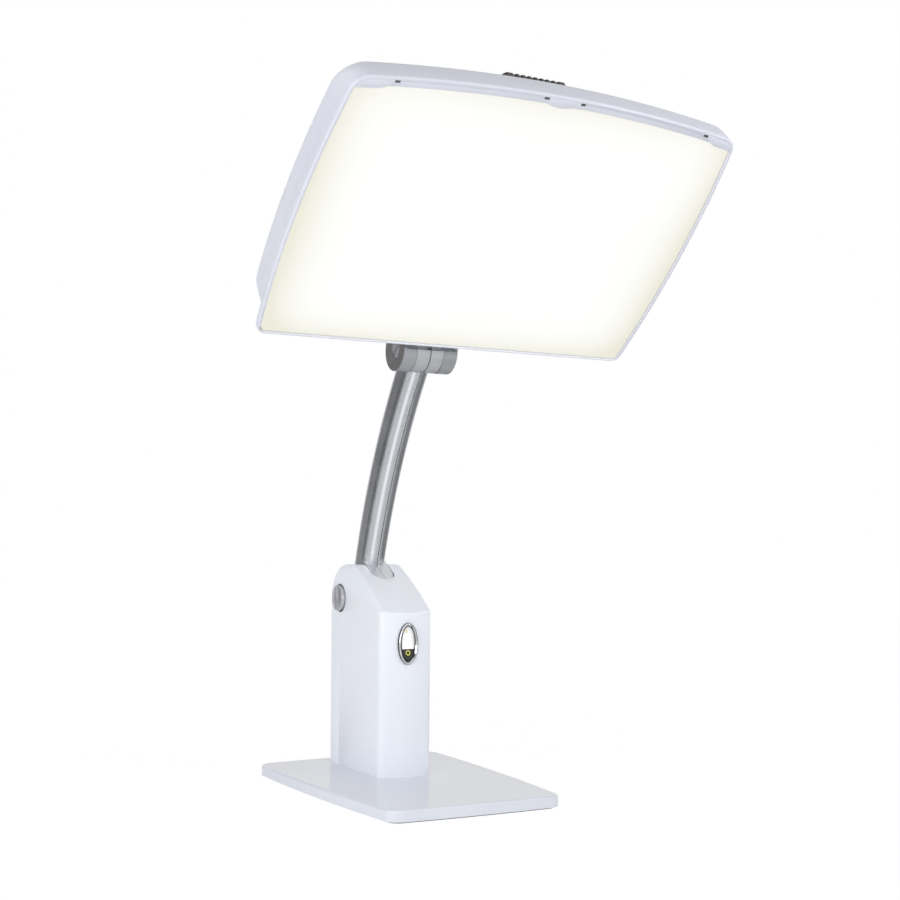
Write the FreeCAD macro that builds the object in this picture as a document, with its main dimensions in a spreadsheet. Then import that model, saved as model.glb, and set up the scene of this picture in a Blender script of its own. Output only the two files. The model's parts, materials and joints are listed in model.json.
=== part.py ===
import FreeCAD, Part
import math
import os
import Sketcher

# Light therapy lamp: a weighted base with a column, a curved arm that tilts at the column's
# top, and a wide light panel that tilts at the arm's end.
# Frame: +Z up, the panel faces -Y, +X is on the right as seen from the front.
# Origin: on the table, under the middle of the base plate.  Millimetres and degrees.

document = FreeCAD.newDocument("light_therapy_lamp")
sheet = document.addObject("Spreadsheet::Sheet", "Sizes")
nodes = []


# ---------------------------------------------------------------- sizes and their arithmetic
class Size:
    """A length, angle or ratio: its value, and the sheet expression that gives it."""

    def __init__(self, value, text):
        self.value = float(value)
        self.text = text

    def __add__(self, other):
        other = as_size(other)
        return Size(self.value + other.value, "(%s + %s)" % (self.text, other.text))

    def __sub__(self, other):
        other = as_size(other)
        return Size(self.value - other.value, "(%s - %s)" % (self.text, other.text))

    def __mul__(self, other):
        other = as_size(other)
        return Size(self.value * other.value, "(%s * %s)" % (self.text, other.text))

    def __truediv__(self, other):
        other = as_size(other)
        return Size(self.value / other.value, "(%s / %s)" % (self.text, other.text))

    def __neg__(self):
        return Size(-self.value, "(0 - %s)" % self.text)

    def __radd__(self, other):
        return as_size(other) + self

    def __rsub__(self, other):
        return as_size(other) - self

    def __rmul__(self, other):
        return as_size(other) * self


def as_size(amount):
    """A plain number as a Size; a Size as it is."""
    if isinstance(amount, Size):
        return amount
    return Size(amount, repr(float(amount)))


def cosine(angle):
    return Size(math.cos(math.radians(angle.value)), "cos(%s * 1 deg)" % angle.text)


def sine(angle):
    return Size(math.sin(math.radians(angle.value)), "sin(%s * 1 deg)" % angle.text)


def root(amount):
    return Size(math.sqrt(amount.value), "sqrt(%s)" % amount.text)


row_count = 0


def size(alias, value, note):
    """A driving dimension: one row of the sheet, with its note, value and alias."""
    global row_count
    row_count += 1
    sheet.set("A%d" % row_count, note)
    sheet.set("B%d" % row_count, str(value))
    sheet.setAlias("B%d" % row_count, alias)
    return Size(value, "Sizes." + alias)


# Base
base_front_width = size("base_front_width", 186, "base plate width at its front corners")
base_back_width = size("base_back_width", 218, "base plate width at its back corners")
base_depth = size("base_depth", 307, "base plate depth, corner to corner")
base_side_bow = size("base_side_bow", 5, "outward bow of the base plate's sides")
base_front_bow = size("base_front_bow", 2, "outward bow of the front edge")
base_back_bow = size("base_back_bow", 7, "outward bow of the back edge")
base_corner_radius = size("base_corner_radius", 15, "base plate corner radius")
base_height = size("base_height", 13, "top of the base cover above the table")
cover_wall = size("cover_wall", 2.5, "wall of the base cover")
cover_edge_round = size("cover_edge_round", 2.4, "round on the cover's top edge")
pad_thickness = size("pad_thickness", 1.5, "non-slip pad thickness")
pad_inset = size("pad_inset", 4, "pad's inset from the base's edge")
bottom_thickness = size("bottom_thickness", 1.2, "steel bottom plate thickness")
ballast_thickness = size("ballast_thickness", 6.8, "steel ballast thickness")
ballast_gap = size("ballast_gap", 0.5, "gap between the ballast and the cover's skirt")
base_screw_diameter = size("base_screw_diameter", 3, "bottom plate screw thread")
base_screw_head = size("base_screw_head", 5.6, "bottom plate screw head")
base_screw_inset = size("base_screw_inset", 16, "corner screws from the base's corners")
side_screw_inset = size("side_screw_inset", 8, "side screws from the base's sides")
boss_diameter = size("boss_diameter", 8, "screw boss diameter")
screw_fit = size("screw_fit", 0.1, "clearance round a screw or boss in its hole")

# Column
column_width = size("column_width", 61, "column width")
column_depth = size("column_depth", 134.5, "column depth from its front corners")
column_height = size("column_height", 222, "column height above the base")
column_front_height = size("column_front_height", 174, "height of the upright front face")
column_slope_run = size("column_slope_run", 77, "depth of the sloping top face")
column_setback = size("column_setback", 5.5, "front face behind the base's middle")
column_crown = size("column_crown", 5, "forward crown of the front face")
column_corner = size("column_corner", 6, "radius of the column's upright corners")
column_back_round = size("column_back_round", 37.5, "radius of the column's top back")
column_edge_round = size("column_edge_round", 4, "round on the column's top edges")
slope_bulge = size("slope_bulge", 2.5, "upward bulge of the sloping face")
ridge_round = size("ridge_round", 14, "round where the slope meets the level top")
column_wall = size("column_wall", 2.6, "wall of the column shells")
seam_gap = size("seam_gap", 0.3, "gap between the column's two shells")
slot_front_run = size("slot_front_run", 49.7, "arm slot's front end behind the front face")
slot_gap = size("slot_gap", 0.75, "gap between the arm and each side of its slot")
slot_back_rise = size("slot_back_rise", 14, "slot's back end above the pivot")

# Pivot in the column
pivot_setback = size("pivot_setback", 107, "pivot behind the front face")
pivot_drop = size("pivot_drop", 37.5, "pivot below the column's top")
shaft_diameter = size("shaft_diameter", 12, "pivot shaft diameter")
shaft_fit = size("shaft_fit", 0.05, "radial clearance of a shaft in its bore")
cap_diameter = size("cap_diameter", 28, "pivot cap diameter")
cap_gap = size("cap_gap", 1.7, "gap between a pivot cap and its hole")
cap_proud = size("cap_proud", 5, "pivot cap standing out of the column")
cap_thickness = size("cap_thickness", 7, "pivot cap disc thickness")
cap_dome = size("cap_dome", 90, "radius of a pivot cap's domed face")
cap_hub_diameter = size("cap_hub_diameter", 20, "pivot cap hub diameter")
cap_slot_width = size("cap_slot_width", 6.5, "coin slot width of a pivot cap")
slot_width = size("slot_width", 3.2, "slot width of a hinge screw")
slot_depth = size("slot_depth", 2.2, "coin slot depth")
ear_thickness = size("ear_thickness", 3, "pivot bracket steel thickness")
ear_width = size("ear_width", 40, "pivot bracket ear width")
washer_thickness = size("washer_thickness", 1.5, "friction washer thickness")
washer_diameter = size("washer_diameter", 34, "friction washer diameter")
spring_thickness = size("spring_thickness", 2, "spring washer pack thickness")
side_gap = size("side_gap", 0.2, "side gap between parts that turn on each other")
flange_bolt_diameter = size("flange_bolt_diameter", 5, "column bolt thread")
flange_bolt_head = size("flange_bolt_head", 8.5, "column bolt head diameter")
flange_head_height = size("flange_head_height", 3, "column bolt head height")
flange_nut_height = size("flange_nut_height", 4, "column nut height")
flange_bolt_spacing = size("flange_bolt_spacing", 26, "column bolt spacing, front to back")
flange_bolt_pitch = size("flange_bolt_pitch", 17, "column bolt spacing, side to side")

# Arm
arm_width = size("arm_width", 26.5, "arm section width")
arm_depth = size("arm_depth", 39.5, "arm section depth")
arm_radius = size("arm_radius", 690, "radius of the arm's curved centreline")
arm_start_angle = size("arm_start_angle", 14, "arm's forward lean at the pivot")
arm_sweep_angle = size("arm_sweep_angle", 24.7, "turn of the arm from pivot to hinge")
arm_wall = size("arm_wall", 2.5, "wall of the arm's half shells")
seam_chamfer = size("seam_chamfer", 0.6, "chamfer along the arm's seam")
foot_radius = size("foot_radius", 24, "radius of the arm's foot round the pivot")
foot_reach = size("foot_reach", 59.5, "reach of the foot's slot cover from the pivot")
foot_round = size("foot_round", 11, "radius of the slot cover's front corners")
foot_drop = size("foot_drop", 0.2, "slot cover under the column's sloping face")
foot_tail = size("foot_tail", 18, "height of the slot cover's lower corner")
arm_bore_start = size("arm_bore_start", 4.6, "start angle of the arm's hollow")
arm_bore_margin = size("arm_bore_margin", 3.3, "angle from the hollow's end to the hinge")
arm_screw_diameter = size("arm_screw_diameter", 3.5, "arm screw thread")
arm_screw_head = size("arm_screw_head", 6.5, "arm screw head diameter")
arm_screw_sink = size("arm_screw_sink", 3.6, "depth of the arm screws' seats")
arm_screw_angle = size("arm_screw_angle", 3, "angle of the lowest arm screw")
arm_screw_margin = size("arm_screw_margin", 2.5, "angle from the top arm screw to the hinge")
cable_diameter = size("cable_diameter", 5.6, "inner cable diameter")
cable_offset = size("cable_offset", 12.5, "inner cable behind the arm's centreline")
cable_foot_angle = size("cable_foot_angle", -1.45, "angle of the inner cable's lower end")
cable_top_angle = size("cable_top_angle", 0.9, "angle of the inner cable past the arm's end")

# Hinge between the arm and the panel
hinge_offset = size("hinge_offset", 6, "hinge in front of the arm's centreline")
barrel_diameter = size("barrel_diameter", 45, "hinge barrel diameter")
barrel_length = size("barrel_length", 61, "hinge barrel length")
knuckle_length = size("knuckle_length", 30, "length of the arm's two knuckles")
hinge_gap = size("hinge_gap", 0.3, "gap between a knuckle and an ear")
seam_groove = size("seam_groove", 0.5, "width and depth of the seams' grooves")
hinge_pin_diameter = size("hinge_pin_diameter", 10, "hinge pin diameter")
hinge_head_diameter = size("hinge_head_diameter", 18, "hinge pin head diameter")
hinge_head_thickness = size("hinge_head_thickness", 4.6, "hinge pin head thickness")
hinge_cap_diameter = size("hinge_cap_diameter", 40.6, "hinge end cap diameter")
hinge_cap_thickness = size("hinge_cap_thickness", 1.4, "hinge end cap thickness")
hinge_washer_diameter = size("hinge_washer_diameter", 24, "hinge washer diameter")
hinge_washer_thickness = size("hinge_washer_thickness", 1.4, "hinge washer thickness")
relief_rise = size("relief_rise", 15.5, "barrel relief's shoulder above the hinge")
relief_width = size("relief_width", 54, "barrel relief width")

# Light panel: its screen outline, then depths behind its face
panel_lean = size("panel_lean", 48.5, "forward lean of the panel")
hinge_drop = size("hinge_drop", 45, "hinge below the screen's lower edge")
hinge_depth = size("hinge_depth", 43, "hinge behind the panel's face")
screen_bottom_width = size("screen_bottom_width", 397, "screen width at the bottom")
screen_top_width = size("screen_top_width", 380, "screen width at the top")
screen_side_bulge = size("screen_side_bulge", 8, "outward bulge of the screen's sides")
screen_side_height = size("screen_side_height", 268, "screen height at its corners")
screen_middle_height = size("screen_middle_height", 281, "screen height in the middle")
screen_low_corner = size("screen_low_corner", 3.5, "radius of the screen's lower corners")
screen_top_corner = size("screen_top_corner", 14, "radius of the screen's upper corners")
screen_gap = size("screen_gap", 1.2, "gap between the screen and the rim")
rim_width = size("rim_width", 3.4, "width of the bezel's rim")
rim_low = size("rim_low", 1.8, "width of the rim along its lower edge")
housing_step = size("housing_step", 0.3, "bezel housing set back from the rim's edge")
bezel_wall = size("bezel_wall", 2.4, "wall of the bezel")
bezel_depth = size("bezel_depth", 16, "depth of the bezel")
screen_recess = size("screen_recess", 1.5, "screen behind the rim's face")
screen_thickness = size("screen_thickness", 2.5, "diffuser thickness")
ledge_width = size("ledge_width", 6, "ledge that carries the diffuser")
ledge_thickness = size("ledge_thickness", 2, "ledge thickness")
shell_depth = size("shell_depth", 46, "depth of the rear shell's back")
shell_side_depth = size("shell_side_depth", 34, "depth where the shell's sides start to taper")
shell_top_depth = size("shell_top_depth", 24, "depth where the shell's top starts to taper")
shell_corner_growth = size("shell_corner_growth", 8, "growth of the shell's upper corners per level")
shell_wall = size("shell_wall", 2.5, "wall of the rear shell")
shell_step = size("shell_step", 0.8, "rear shell inside the bezel's outline")
shell_side_taper = size("shell_side_taper", 13, "taper of the shell's sides")
shell_top_taper = size("shell_top_taper", 21, "taper of the shell's top")
housing_bottom = size("housing_bottom", 22, "housing's underside above the screen's edge")
shell_bottom_taper = size("shell_bottom_taper", 14, "taper of the shell's underside")
spine_width = size("spine_width", 72, "width of the raised spine")
spine_depth = size("spine_depth", 64, "depth of the spine's back")
spine_top = size("spine_top", 240, "top of the spine above the screen's edge")
spine_edge_round = size("spine_edge_round", 7, "round on the spine's back edges")
spine_end_cut = size("spine_end_cut", 12, "slant at the spine's lower end")
spine_root = size("spine_root", 6, "spine's start behind the shell's taper")
vent_width = size("vent_width", 60, "vent grille width")
vent_height = size("vent_height", 27, "vent grille height")
vent_proud = size("vent_proud", 2, "vent grille behind the spine's back")
vent_bar = size("vent_bar", 3, "vent grille bar width")
vent_gap = size("vent_gap", 3.3, "vent grille gap width")
vent_slot_count = 8
vent_chamfer = size("vent_chamfer", 6, "slant at the grille's upper back edge")
vent_skin = size("vent_skin", 4, "thickness of the grille's back")
vent_rebate = size("vent_rebate", 6, "grille past the sides of its hole in the shell")
tray_inset = size("tray_inset", 9, "reflector tray inside the screen's edge")
tray_sheet = size("tray_sheet", 1, "reflector tray sheet thickness")
tray_gap = size("tray_gap", 1, "gap between the tray and the shell's underside")
tray_depth = size("tray_depth", 19, "reflector tray's back behind the face")
strip_count = 6
strip_low = size("strip_low", 36, "lowest light strip above the screen's edge")
strip_pitch = size("strip_pitch", 42.5, "light strip spacing")
strip_length = size("strip_length", 352, "light strip length")
strip_height = size("strip_height", 10, "light strip height")
strip_thickness = size("strip_thickness", 1.6, "light strip board thickness")
led_count = 12
led_margin = size("led_margin", 16.5, "end light emitters from their strip's ends")
led_width = size("led_width", 3.5, "light emitter width")
led_height = size("led_height", 2.8, "light emitter height")
led_thickness = size("led_thickness", 0.8, "light emitter thickness")
spreader_inset = size("spreader_inset", 16, "heat spreader inside the screen's edge")
spreader_thickness = size("spreader_thickness", 2, "heat spreader thickness")
panel_screw_diameter = size("panel_screw_diameter", 3, "panel screw thread")
panel_screw_reach = size("panel_screw_reach", 140, "panel screws from the middle")
panel_post_bore = size("panel_post_bore", 12, "depth of the panel screws' holes")
clip_length = size("clip_length", 3, "screen clip length")
tab_width = size("tab_width", 32, "bezel tab width")
tab_overlap = size("tab_overlap", 5.5, "bezel tab over the screen")
tab_thickness = size("tab_thickness", 1.2, "bezel tab thickness")

# Neck
neck_width = size("neck_width", 52, "neck width")
neck_thickness = size("neck_thickness", 20, "neck thickness")
neck_top = size("neck_top", 66, "neck's top above the screen's edge")
neck_start = size("neck_start", 27.2, "neck's bridge above the hinge")
neck_clear = size("neck_clear", 0.6, "gap round the neck in the shell")
plate_thickness = size("plate_thickness", 3, "panel mounting plate thickness")
plate_width = size("plate_width", 60, "panel mounting plate width")
plate_top = size("plate_top", 120, "panel mounting plate's top")
plate_bottom = size("plate_bottom", 40, "panel mounting plate's bottom")
neck_screw_diameter = size("neck_screw_diameter", 4, "neck screw thread")
neck_screw_pitch = size("neck_screw_pitch", 36, "neck screws, side to side")
terminal_width = size("terminal_width", 24, "panel terminal block width")
terminal_height = size("terminal_height", 12, "panel terminal block height")
terminal_depth = size("terminal_depth", 10, "panel terminal block depth")
terminal_rise = size("terminal_rise", 26, "panel terminal block above the neck")

# Switch
switch_height = size("switch_height", 140.5, "switch above the base")
switch_long = size("switch_long", 43.5, "switch bezel height")
switch_wide = size("switch_wide", 22.5, "switch bezel width")
switch_proud = size("switch_proud", 2.6, "switch bezel in front of the column")
switch_ring = size("switch_ring", 3.3, "width of the bezel's ring")
switch_sleeve = size("switch_sleeve", 1.7, "wall of the bezel's sleeve")
switch_sleeve_depth = size("switch_sleeve_depth", 11, "depth of the bezel's sleeve")
rocker_gap = size("rocker_gap", 0.35, "gap round the rocker")
rocker_tilt = size("rocker_tilt", 5, "rocker's tilt from level")
rocker_pivot_depth = size("rocker_pivot_depth", 3.4, "rocker's axle behind the column's front")
rocker_dish = size("rocker_dish", 1.6, "hollow of the rocker's face")
rocker_back = size("rocker_back", 4, "rocker's back behind its axle")
rocker_axle = size("rocker_axle", 2.4, "rocker axle diameter")
switch_body_width = size("switch_body_width", 17, "switch body width")
switch_body_height = size("switch_body_height", 34, "switch body height")
switch_body_depth = size("switch_body_depth", 16, "switch body depth")
blade_width = size("blade_width", 4.8, "switch terminal width")
blade_length = size("blade_length", 7, "switch terminal length")
blade_thickness = size("blade_thickness", 0.8, "switch terminal thickness")

# Power inlet and driver board
jack_height = size("jack_height", 16, "power inlet above the base")
jack_diameter = size("jack_diameter", 8, "power inlet barrel diameter")
jack_bore = size("jack_bore", 5.6, "power inlet bore")
jack_pin_diameter = size("jack_pin_diameter", 2.1, "power inlet pin diameter")
jack_flange_diameter = size("jack_flange_diameter", 12, "power inlet flange diameter")
jack_flange = size("jack_flange", 1.5, "power inlet flange thickness")
jack_body_length = size("jack_body_length", 20, "power inlet length behind its flange")
jack_nut = size("jack_nut", 2, "power inlet nut thickness")
jack_bore_depth = size("jack_bore_depth", 10, "power inlet bore behind the column's back")
board_width = size("board_width", 40, "driver board width")
board_height = size("board_height", 88, "driver board height")
board_bottom = size("board_bottom", 20, "driver board above the base")
board_thickness = size("board_thickness", 1.6, "driver board thickness")
board_setback = size("board_setback", 25, "driver board behind the front face")
board_hole_inset = size("board_hole_inset", 4, "board screws from the board's edges")
post_bite = size("post_bite", 0.8, "how far a post is sunk into the wall beside it")
shell_post_length = size("shell_post_length", 14, "length of the front shell's posts")
shell_post_low = size("shell_post_low", 24, "lower shell screws above the base")
shell_post_high = size("shell_post_high", 150, "upper shell screws above the base")
shell_screw_diameter = size("shell_screw_diameter", 3, "shell screw thread")
shell_screw_head = size("shell_screw_head", 5.5, "shell screw head diameter")

document.recompute()

# Places that several parts share, worked out from the sizes
front_y = column_setback
back_y = column_setback + column_depth
top_z = base_height + column_height
pivot_y = front_y + pivot_setback
pivot_z = top_z - pivot_drop
crown_y = front_y - column_crown / 2
foot_half_width = arm_width / 2
ear_inner = foot_half_width + side_gap + washer_thickness
ear_outer = ear_inner + ear_thickness
switch_z = base_height + switch_height
arc_y = pivot_y - arm_radius * cosine(arm_start_angle)
arc_z = pivot_z - arm_radius * sine(arm_start_angle)
hinge_track = arm_radius - hinge_offset
hinge_y = arc_y + hinge_track * cosine(arm_start_angle + arm_sweep_angle)
hinge_z = arc_z + hinge_track * sine(arm_start_angle + arm_sweep_angle)
panel_y = hinge_y - hinge_drop * sine(panel_lean) - hinge_depth * cosine(panel_lean)
panel_z = hinge_z + hinge_drop * cosine(panel_lean) - hinge_depth * sine(panel_lean)
arm_hinge_y = hinge_track * cosine(arm_sweep_angle)
arm_hinge_z = hinge_track * sine(arm_sweep_angle)
arm_end_y = arm_radius * cosine(arm_sweep_angle)
arm_end_z = arm_radius * sine(arm_sweep_angle)
neck_front = hinge_depth - neck_thickness / 2
neck_back = hinge_depth + neck_thickness / 2
spreader_front = tray_depth + strip_thickness
spreader_back = spreader_front + spreader_thickness
RIGHT = 1
LEFT = -1

# The frames that the parts are made in: origin and turn about X
ARM_FRAME = (as_size(0), arc_y, arc_z, arm_start_angle)
PANEL_FRAME = (as_size(0), panel_y, panel_z, panel_lean + 90)
ROCKER_FRAME = (as_size(0), crown_y + rocker_pivot_depth, switch_z, -rocker_tilt)


# ---------------------------------------------------------------- building blocks
def bind(thing, prop, amount):
    """Tie a property to the sheet."""
    thing.setExpression(prop, as_size(amount).text)


def place(thing, x, y, z):
    bind(thing, "Placement.Base.x", x)
    bind(thing, "Placement.Base.y", y)
    bind(thing, "Placement.Base.z", z)
    return thing


def seat(thing, frame):
    """Put a finished part, made in its own frame, where it belongs on the lamp."""
    thing.Placement = FreeCAD.Placement(
        FreeCAD.Vector(0, 0, 0), FreeCAD.Rotation(FreeCAD.Vector(1, 0, 0), frame[3].value))
    bind(thing, "Placement.Rotation.Angle", frame[3])
    return place(thing, frame[0], frame[1], frame[2])


def plane_sketch(body, plane, offset):
    """A sketch on one of the body's origin planes, moved along the plane's normal."""
    sketch = body.newObject("Sketcher::SketchObject", body.Name + "_sketch")
    found = [item for item in body.Origin.OriginFeatures if item.Role == plane]
    sketch.AttachmentSupport = [(found[0], "")]
    sketch.MapMode = "FlatFace"
    bind(sketch, "AttachmentOffset.Base.z", offset)
    return sketch


def fix_point(sketch, geometry, position, name, point):
    """Tie one point of a sketch to the sheet, measured from the sketch's origin."""
    for kind, suffix, amount in (("DistanceX", "x", point[0]), ("DistanceY", "y", point[1])):
        amount = as_size(amount)
        index = sketch.addConstraint(
            Sketcher.Constraint(kind, -1, 1, geometry, position, amount.value))
        sketch.renameConstraint(index, name + "_" + suffix)
        bind(sketch, "Constraints.%s_%s" % (name, suffix), amount)


def vector(point):
    return FreeCAD.Vector(as_size(point[0]).value, as_size(point[1]).value, 0)


def draw_outline(sketch, corners, through=None):
    """A closed outline; `through` gives the point that a side's arc passes through."""
    through = through or {}
    ends = []
    for index, corner in enumerate(corners):
        start = vector(corner)
        stop = vector(corners[(index + 1) % len(corners)])
        if index not in through:
            side = sketch.addGeometry(Part.LineSegment(start, stop), False)
            ends.append((side, 1, 2))
            continue
        middle = vector(through[index])
        turn = (middle - start).cross(stop - middle).z
        if turn > 0:
            side = sketch.addGeometry(Part.Arc(start, middle, stop), False)
            ends.append((side, 1, 2))
        else:
            side = sketch.addGeometry(Part.Arc(stop, middle, start), False)
            ends.append((side, 2, 1))
        mark = sketch.addGeometry(Part.Point(middle), True)
        sketch.addConstraint(Sketcher.Constraint("PointOnObject", mark, 1, side))
        fix_point(sketch, mark, 1, "through%d" % index, through[index])
    for index, end in enumerate(ends):
        following = ends[(index + 1) % len(ends)]
        sketch.addConstraint(
            Sketcher.Constraint("Coincident", end[0], end[2], following[0], following[1]))
        fix_point(sketch, end[0], end[1], "corner%d" % index, corners[index])


def draw_circle(sketch, centre, radius):
    circle = sketch.addGeometry(
        Part.Circle(vector(centre), FreeCAD.Vector(0, 0, 1), radius.value), False)
    index = sketch.addConstraint(Sketcher.Constraint("Radius", circle, radius.value))
    sketch.renameConstraint(index, "radius")
    bind(sketch, "Constraints.radius", radius)
    fix_point(sketch, circle, 3, "centre", centre)


def pad(body, sketch, length):
    feature = body.newObject("PartDesign::Pad", body.Name + "_pad")
    feature.Profile = sketch
    bind(feature, "Length", length)
    return feature


def prism(name, plane, low, high, corners, through=None):
    """A body with a straight outline: XY rises along Z, YZ runs along X, XZ along Y."""
    body = document.addObject("PartDesign::Body", name)
    offset = -as_size(high) if plane == "XZ_Plane" else as_size(low)
    sketch = plane_sketch(body, plane, offset)
    draw_outline(sketch, corners, through)
    pad(body, sketch, as_size(high) - low)
    return body


def round_edges(body, radius, chooser):
    """Fillet the edges of a body that the chooser picks."""
    document.recompute()
    base = body.Tip
    names = ["Edge%d" % (index + 1) for index, edge in enumerate(base.Shape.Edges) if chooser(edge)]
    feature = body.newObject("PartDesign::Fillet", body.Name + "_round")
    feature.Base = (base, names)
    bind(feature, "Radius", radius)
    document.recompute()
    return body


def is_upright(edge):
    box = edge.BoundBox
    return box.XLength < 0.01 and box.YLength < 0.01


def box(name, low, high):
    """A block between two corners."""
    block = document.addObject("Part::Box", name)
    for prop, index in (("Length", 0), ("Width", 1), ("Height", 2)):
        bind(block, prop, as_size(high[index]) - low[index])
    return place(block, low[0], low[1], low[2])


def rod(name, axis, start, radius, length):
    """A cylinder along X, Y or Z from its start point."""
    turns = {"X": ((0, 1, 0), 90), "Y": ((1, 0, 0), -90), "Z": ((0, 0, 1), 0)}
    direction, angle = turns[axis]
    cylinder = document.addObject("Part::Cylinder", name)
    cylinder.Placement = FreeCAD.Placement(
        FreeCAD.Vector(0, 0, 0), FreeCAD.Rotation(FreeCAD.Vector(*direction), angle))
    bind(cylinder, "Radius", radius)
    bind(cylinder, "Height", length)
    return place(cylinder, start[0], start[1], start[2])


def side_rod(name, side, x_from, x_to, y, z, radius):
    """A cylinder along X on one side of the middle plane, from x_from out to x_to."""
    near = as_size(x_from) if side == RIGHT else -as_size(x_to)
    return rod(name, "X", (near, y, z), radius, as_size(x_to) - x_from)


def fuse(name, parts):
    result = document.addObject("Part::MultiFuse", name)
    result.Shapes = parts
    return result


def cut(name, base, tools):
    result = document.addObject("Part::Cut", name)
    result.Base = base
    result.Tool = tools[0] if len(tools) == 1 else fuse(name + "_tools", tools)
    return result


def group(name, parts):
    """Separate solids kept together in one node."""
    result = document.addObject("Part::Compound", name)
    result.Links = parts
    return result


def node(label, thing, frame=None):
    """Name a finished sub-part and seat it."""
    if frame is not None:
        seat(thing, frame)
    thing.Label = label
    nodes.append(thing)
    return thing


def ellipse_prism(name, half_height, half_width, y_low, y_high, z):
    """An upright oval that runs along Y."""
    oval = document.addObject("Part::Ellipse", name + "_oval")
    bind(oval, "MajorRadius", half_height)
    bind(oval, "MinorRadius", half_width)
    oval.Placement = FreeCAD.Placement(
        FreeCAD.Vector(0, 0, 0), FreeCAD.Rotation(FreeCAD.Vector(1, 1, 1), 240))
    place(oval, 0, y_low, z)
    solid = document.addObject("Part::Extrusion", name)
    solid.Base = oval
    solid.DirMode = "Custom"
    solid.Dir = (0, 1, 0)
    bind(solid, "LengthFwd", as_size(y_high) - y_low)
    solid.Solid = True
    return solid


def screw(name, axis, seat_point, thread, length, head, head_height, heading=1):
    """A screw: its shank runs from the seat along the axis, its head stands behind it."""
    index = "XYZ".index(axis)
    shank_start = list(seat_point)
    head_start = list(seat_point)
    if heading == 1:
        head_start[index] = as_size(head_start[index]) - head_height
    else:
        shank_start[index] = as_size(shank_start[index]) - length
    shank = rod(name + "_shank", axis, shank_start, thread / 2, length)
    cap = rod(name + "_head", axis, head_start, head / 2, head_height)
    return fuse(name, [shank, cap])


# ---------------------------------------------------------------- base
def base_outline(inset):
    """The base plate's outline, wider at the back, with bowed sides."""
    front = -base_depth / 2 + inset
    back = base_depth / 2 - inset
    front_half = base_front_width / 2 - inset
    back_half = base_back_width / 2 - inset
    side = (base_front_width + base_back_width) / 4 + base_side_bow - inset
    corners = [(-front_half, front), (front_half, front), (back_half, back), (-back_half, back)]
    through = {0: (0, front - base_front_bow), 1: (side, 0),
               2: (0, back + base_back_bow), 3: (-side, 0)}
    return corners, through


def base_slab(name, inset, low, high):
    corners, through = base_outline(inset)
    slab = prism(name, "XY_Plane", low, high, corners, through)
    return round_edges(slab, base_corner_radius - inset, is_upright)


def base_screw_places():
    """Where the bottom plate's screws stand: four corners and two sides."""
    side = (base_front_width + base_back_width) / 4 - side_screw_inset
    reach = base_depth / 2 - base_screw_inset
    places = []
    for x_side in (LEFT, RIGHT):
        places.append((x_side * (base_front_width / 2 - base_screw_inset), -reach))
        places.append((x_side * side, as_size(0)))
        places.append((x_side * (base_back_width / 2 - base_screw_inset), reach))
    return places


def flange_bolt_places():
    places = []
    for x_side in (LEFT, RIGHT):
        for y_side in (-1, 1):
            places.append((x_side * flange_bolt_pitch / 2,
                           pivot_y + y_side * flange_bolt_spacing / 2))
    return places


ballast_bottom = pad_thickness + bottom_thickness
ballast_top = ballast_bottom + ballast_thickness
cover_inner = base_height - cover_wall
bolt_seat = ballast_bottom + flange_head_height + side_gap
bolt_clear = flange_bolt_diameter / 2 + screw_fit


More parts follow.
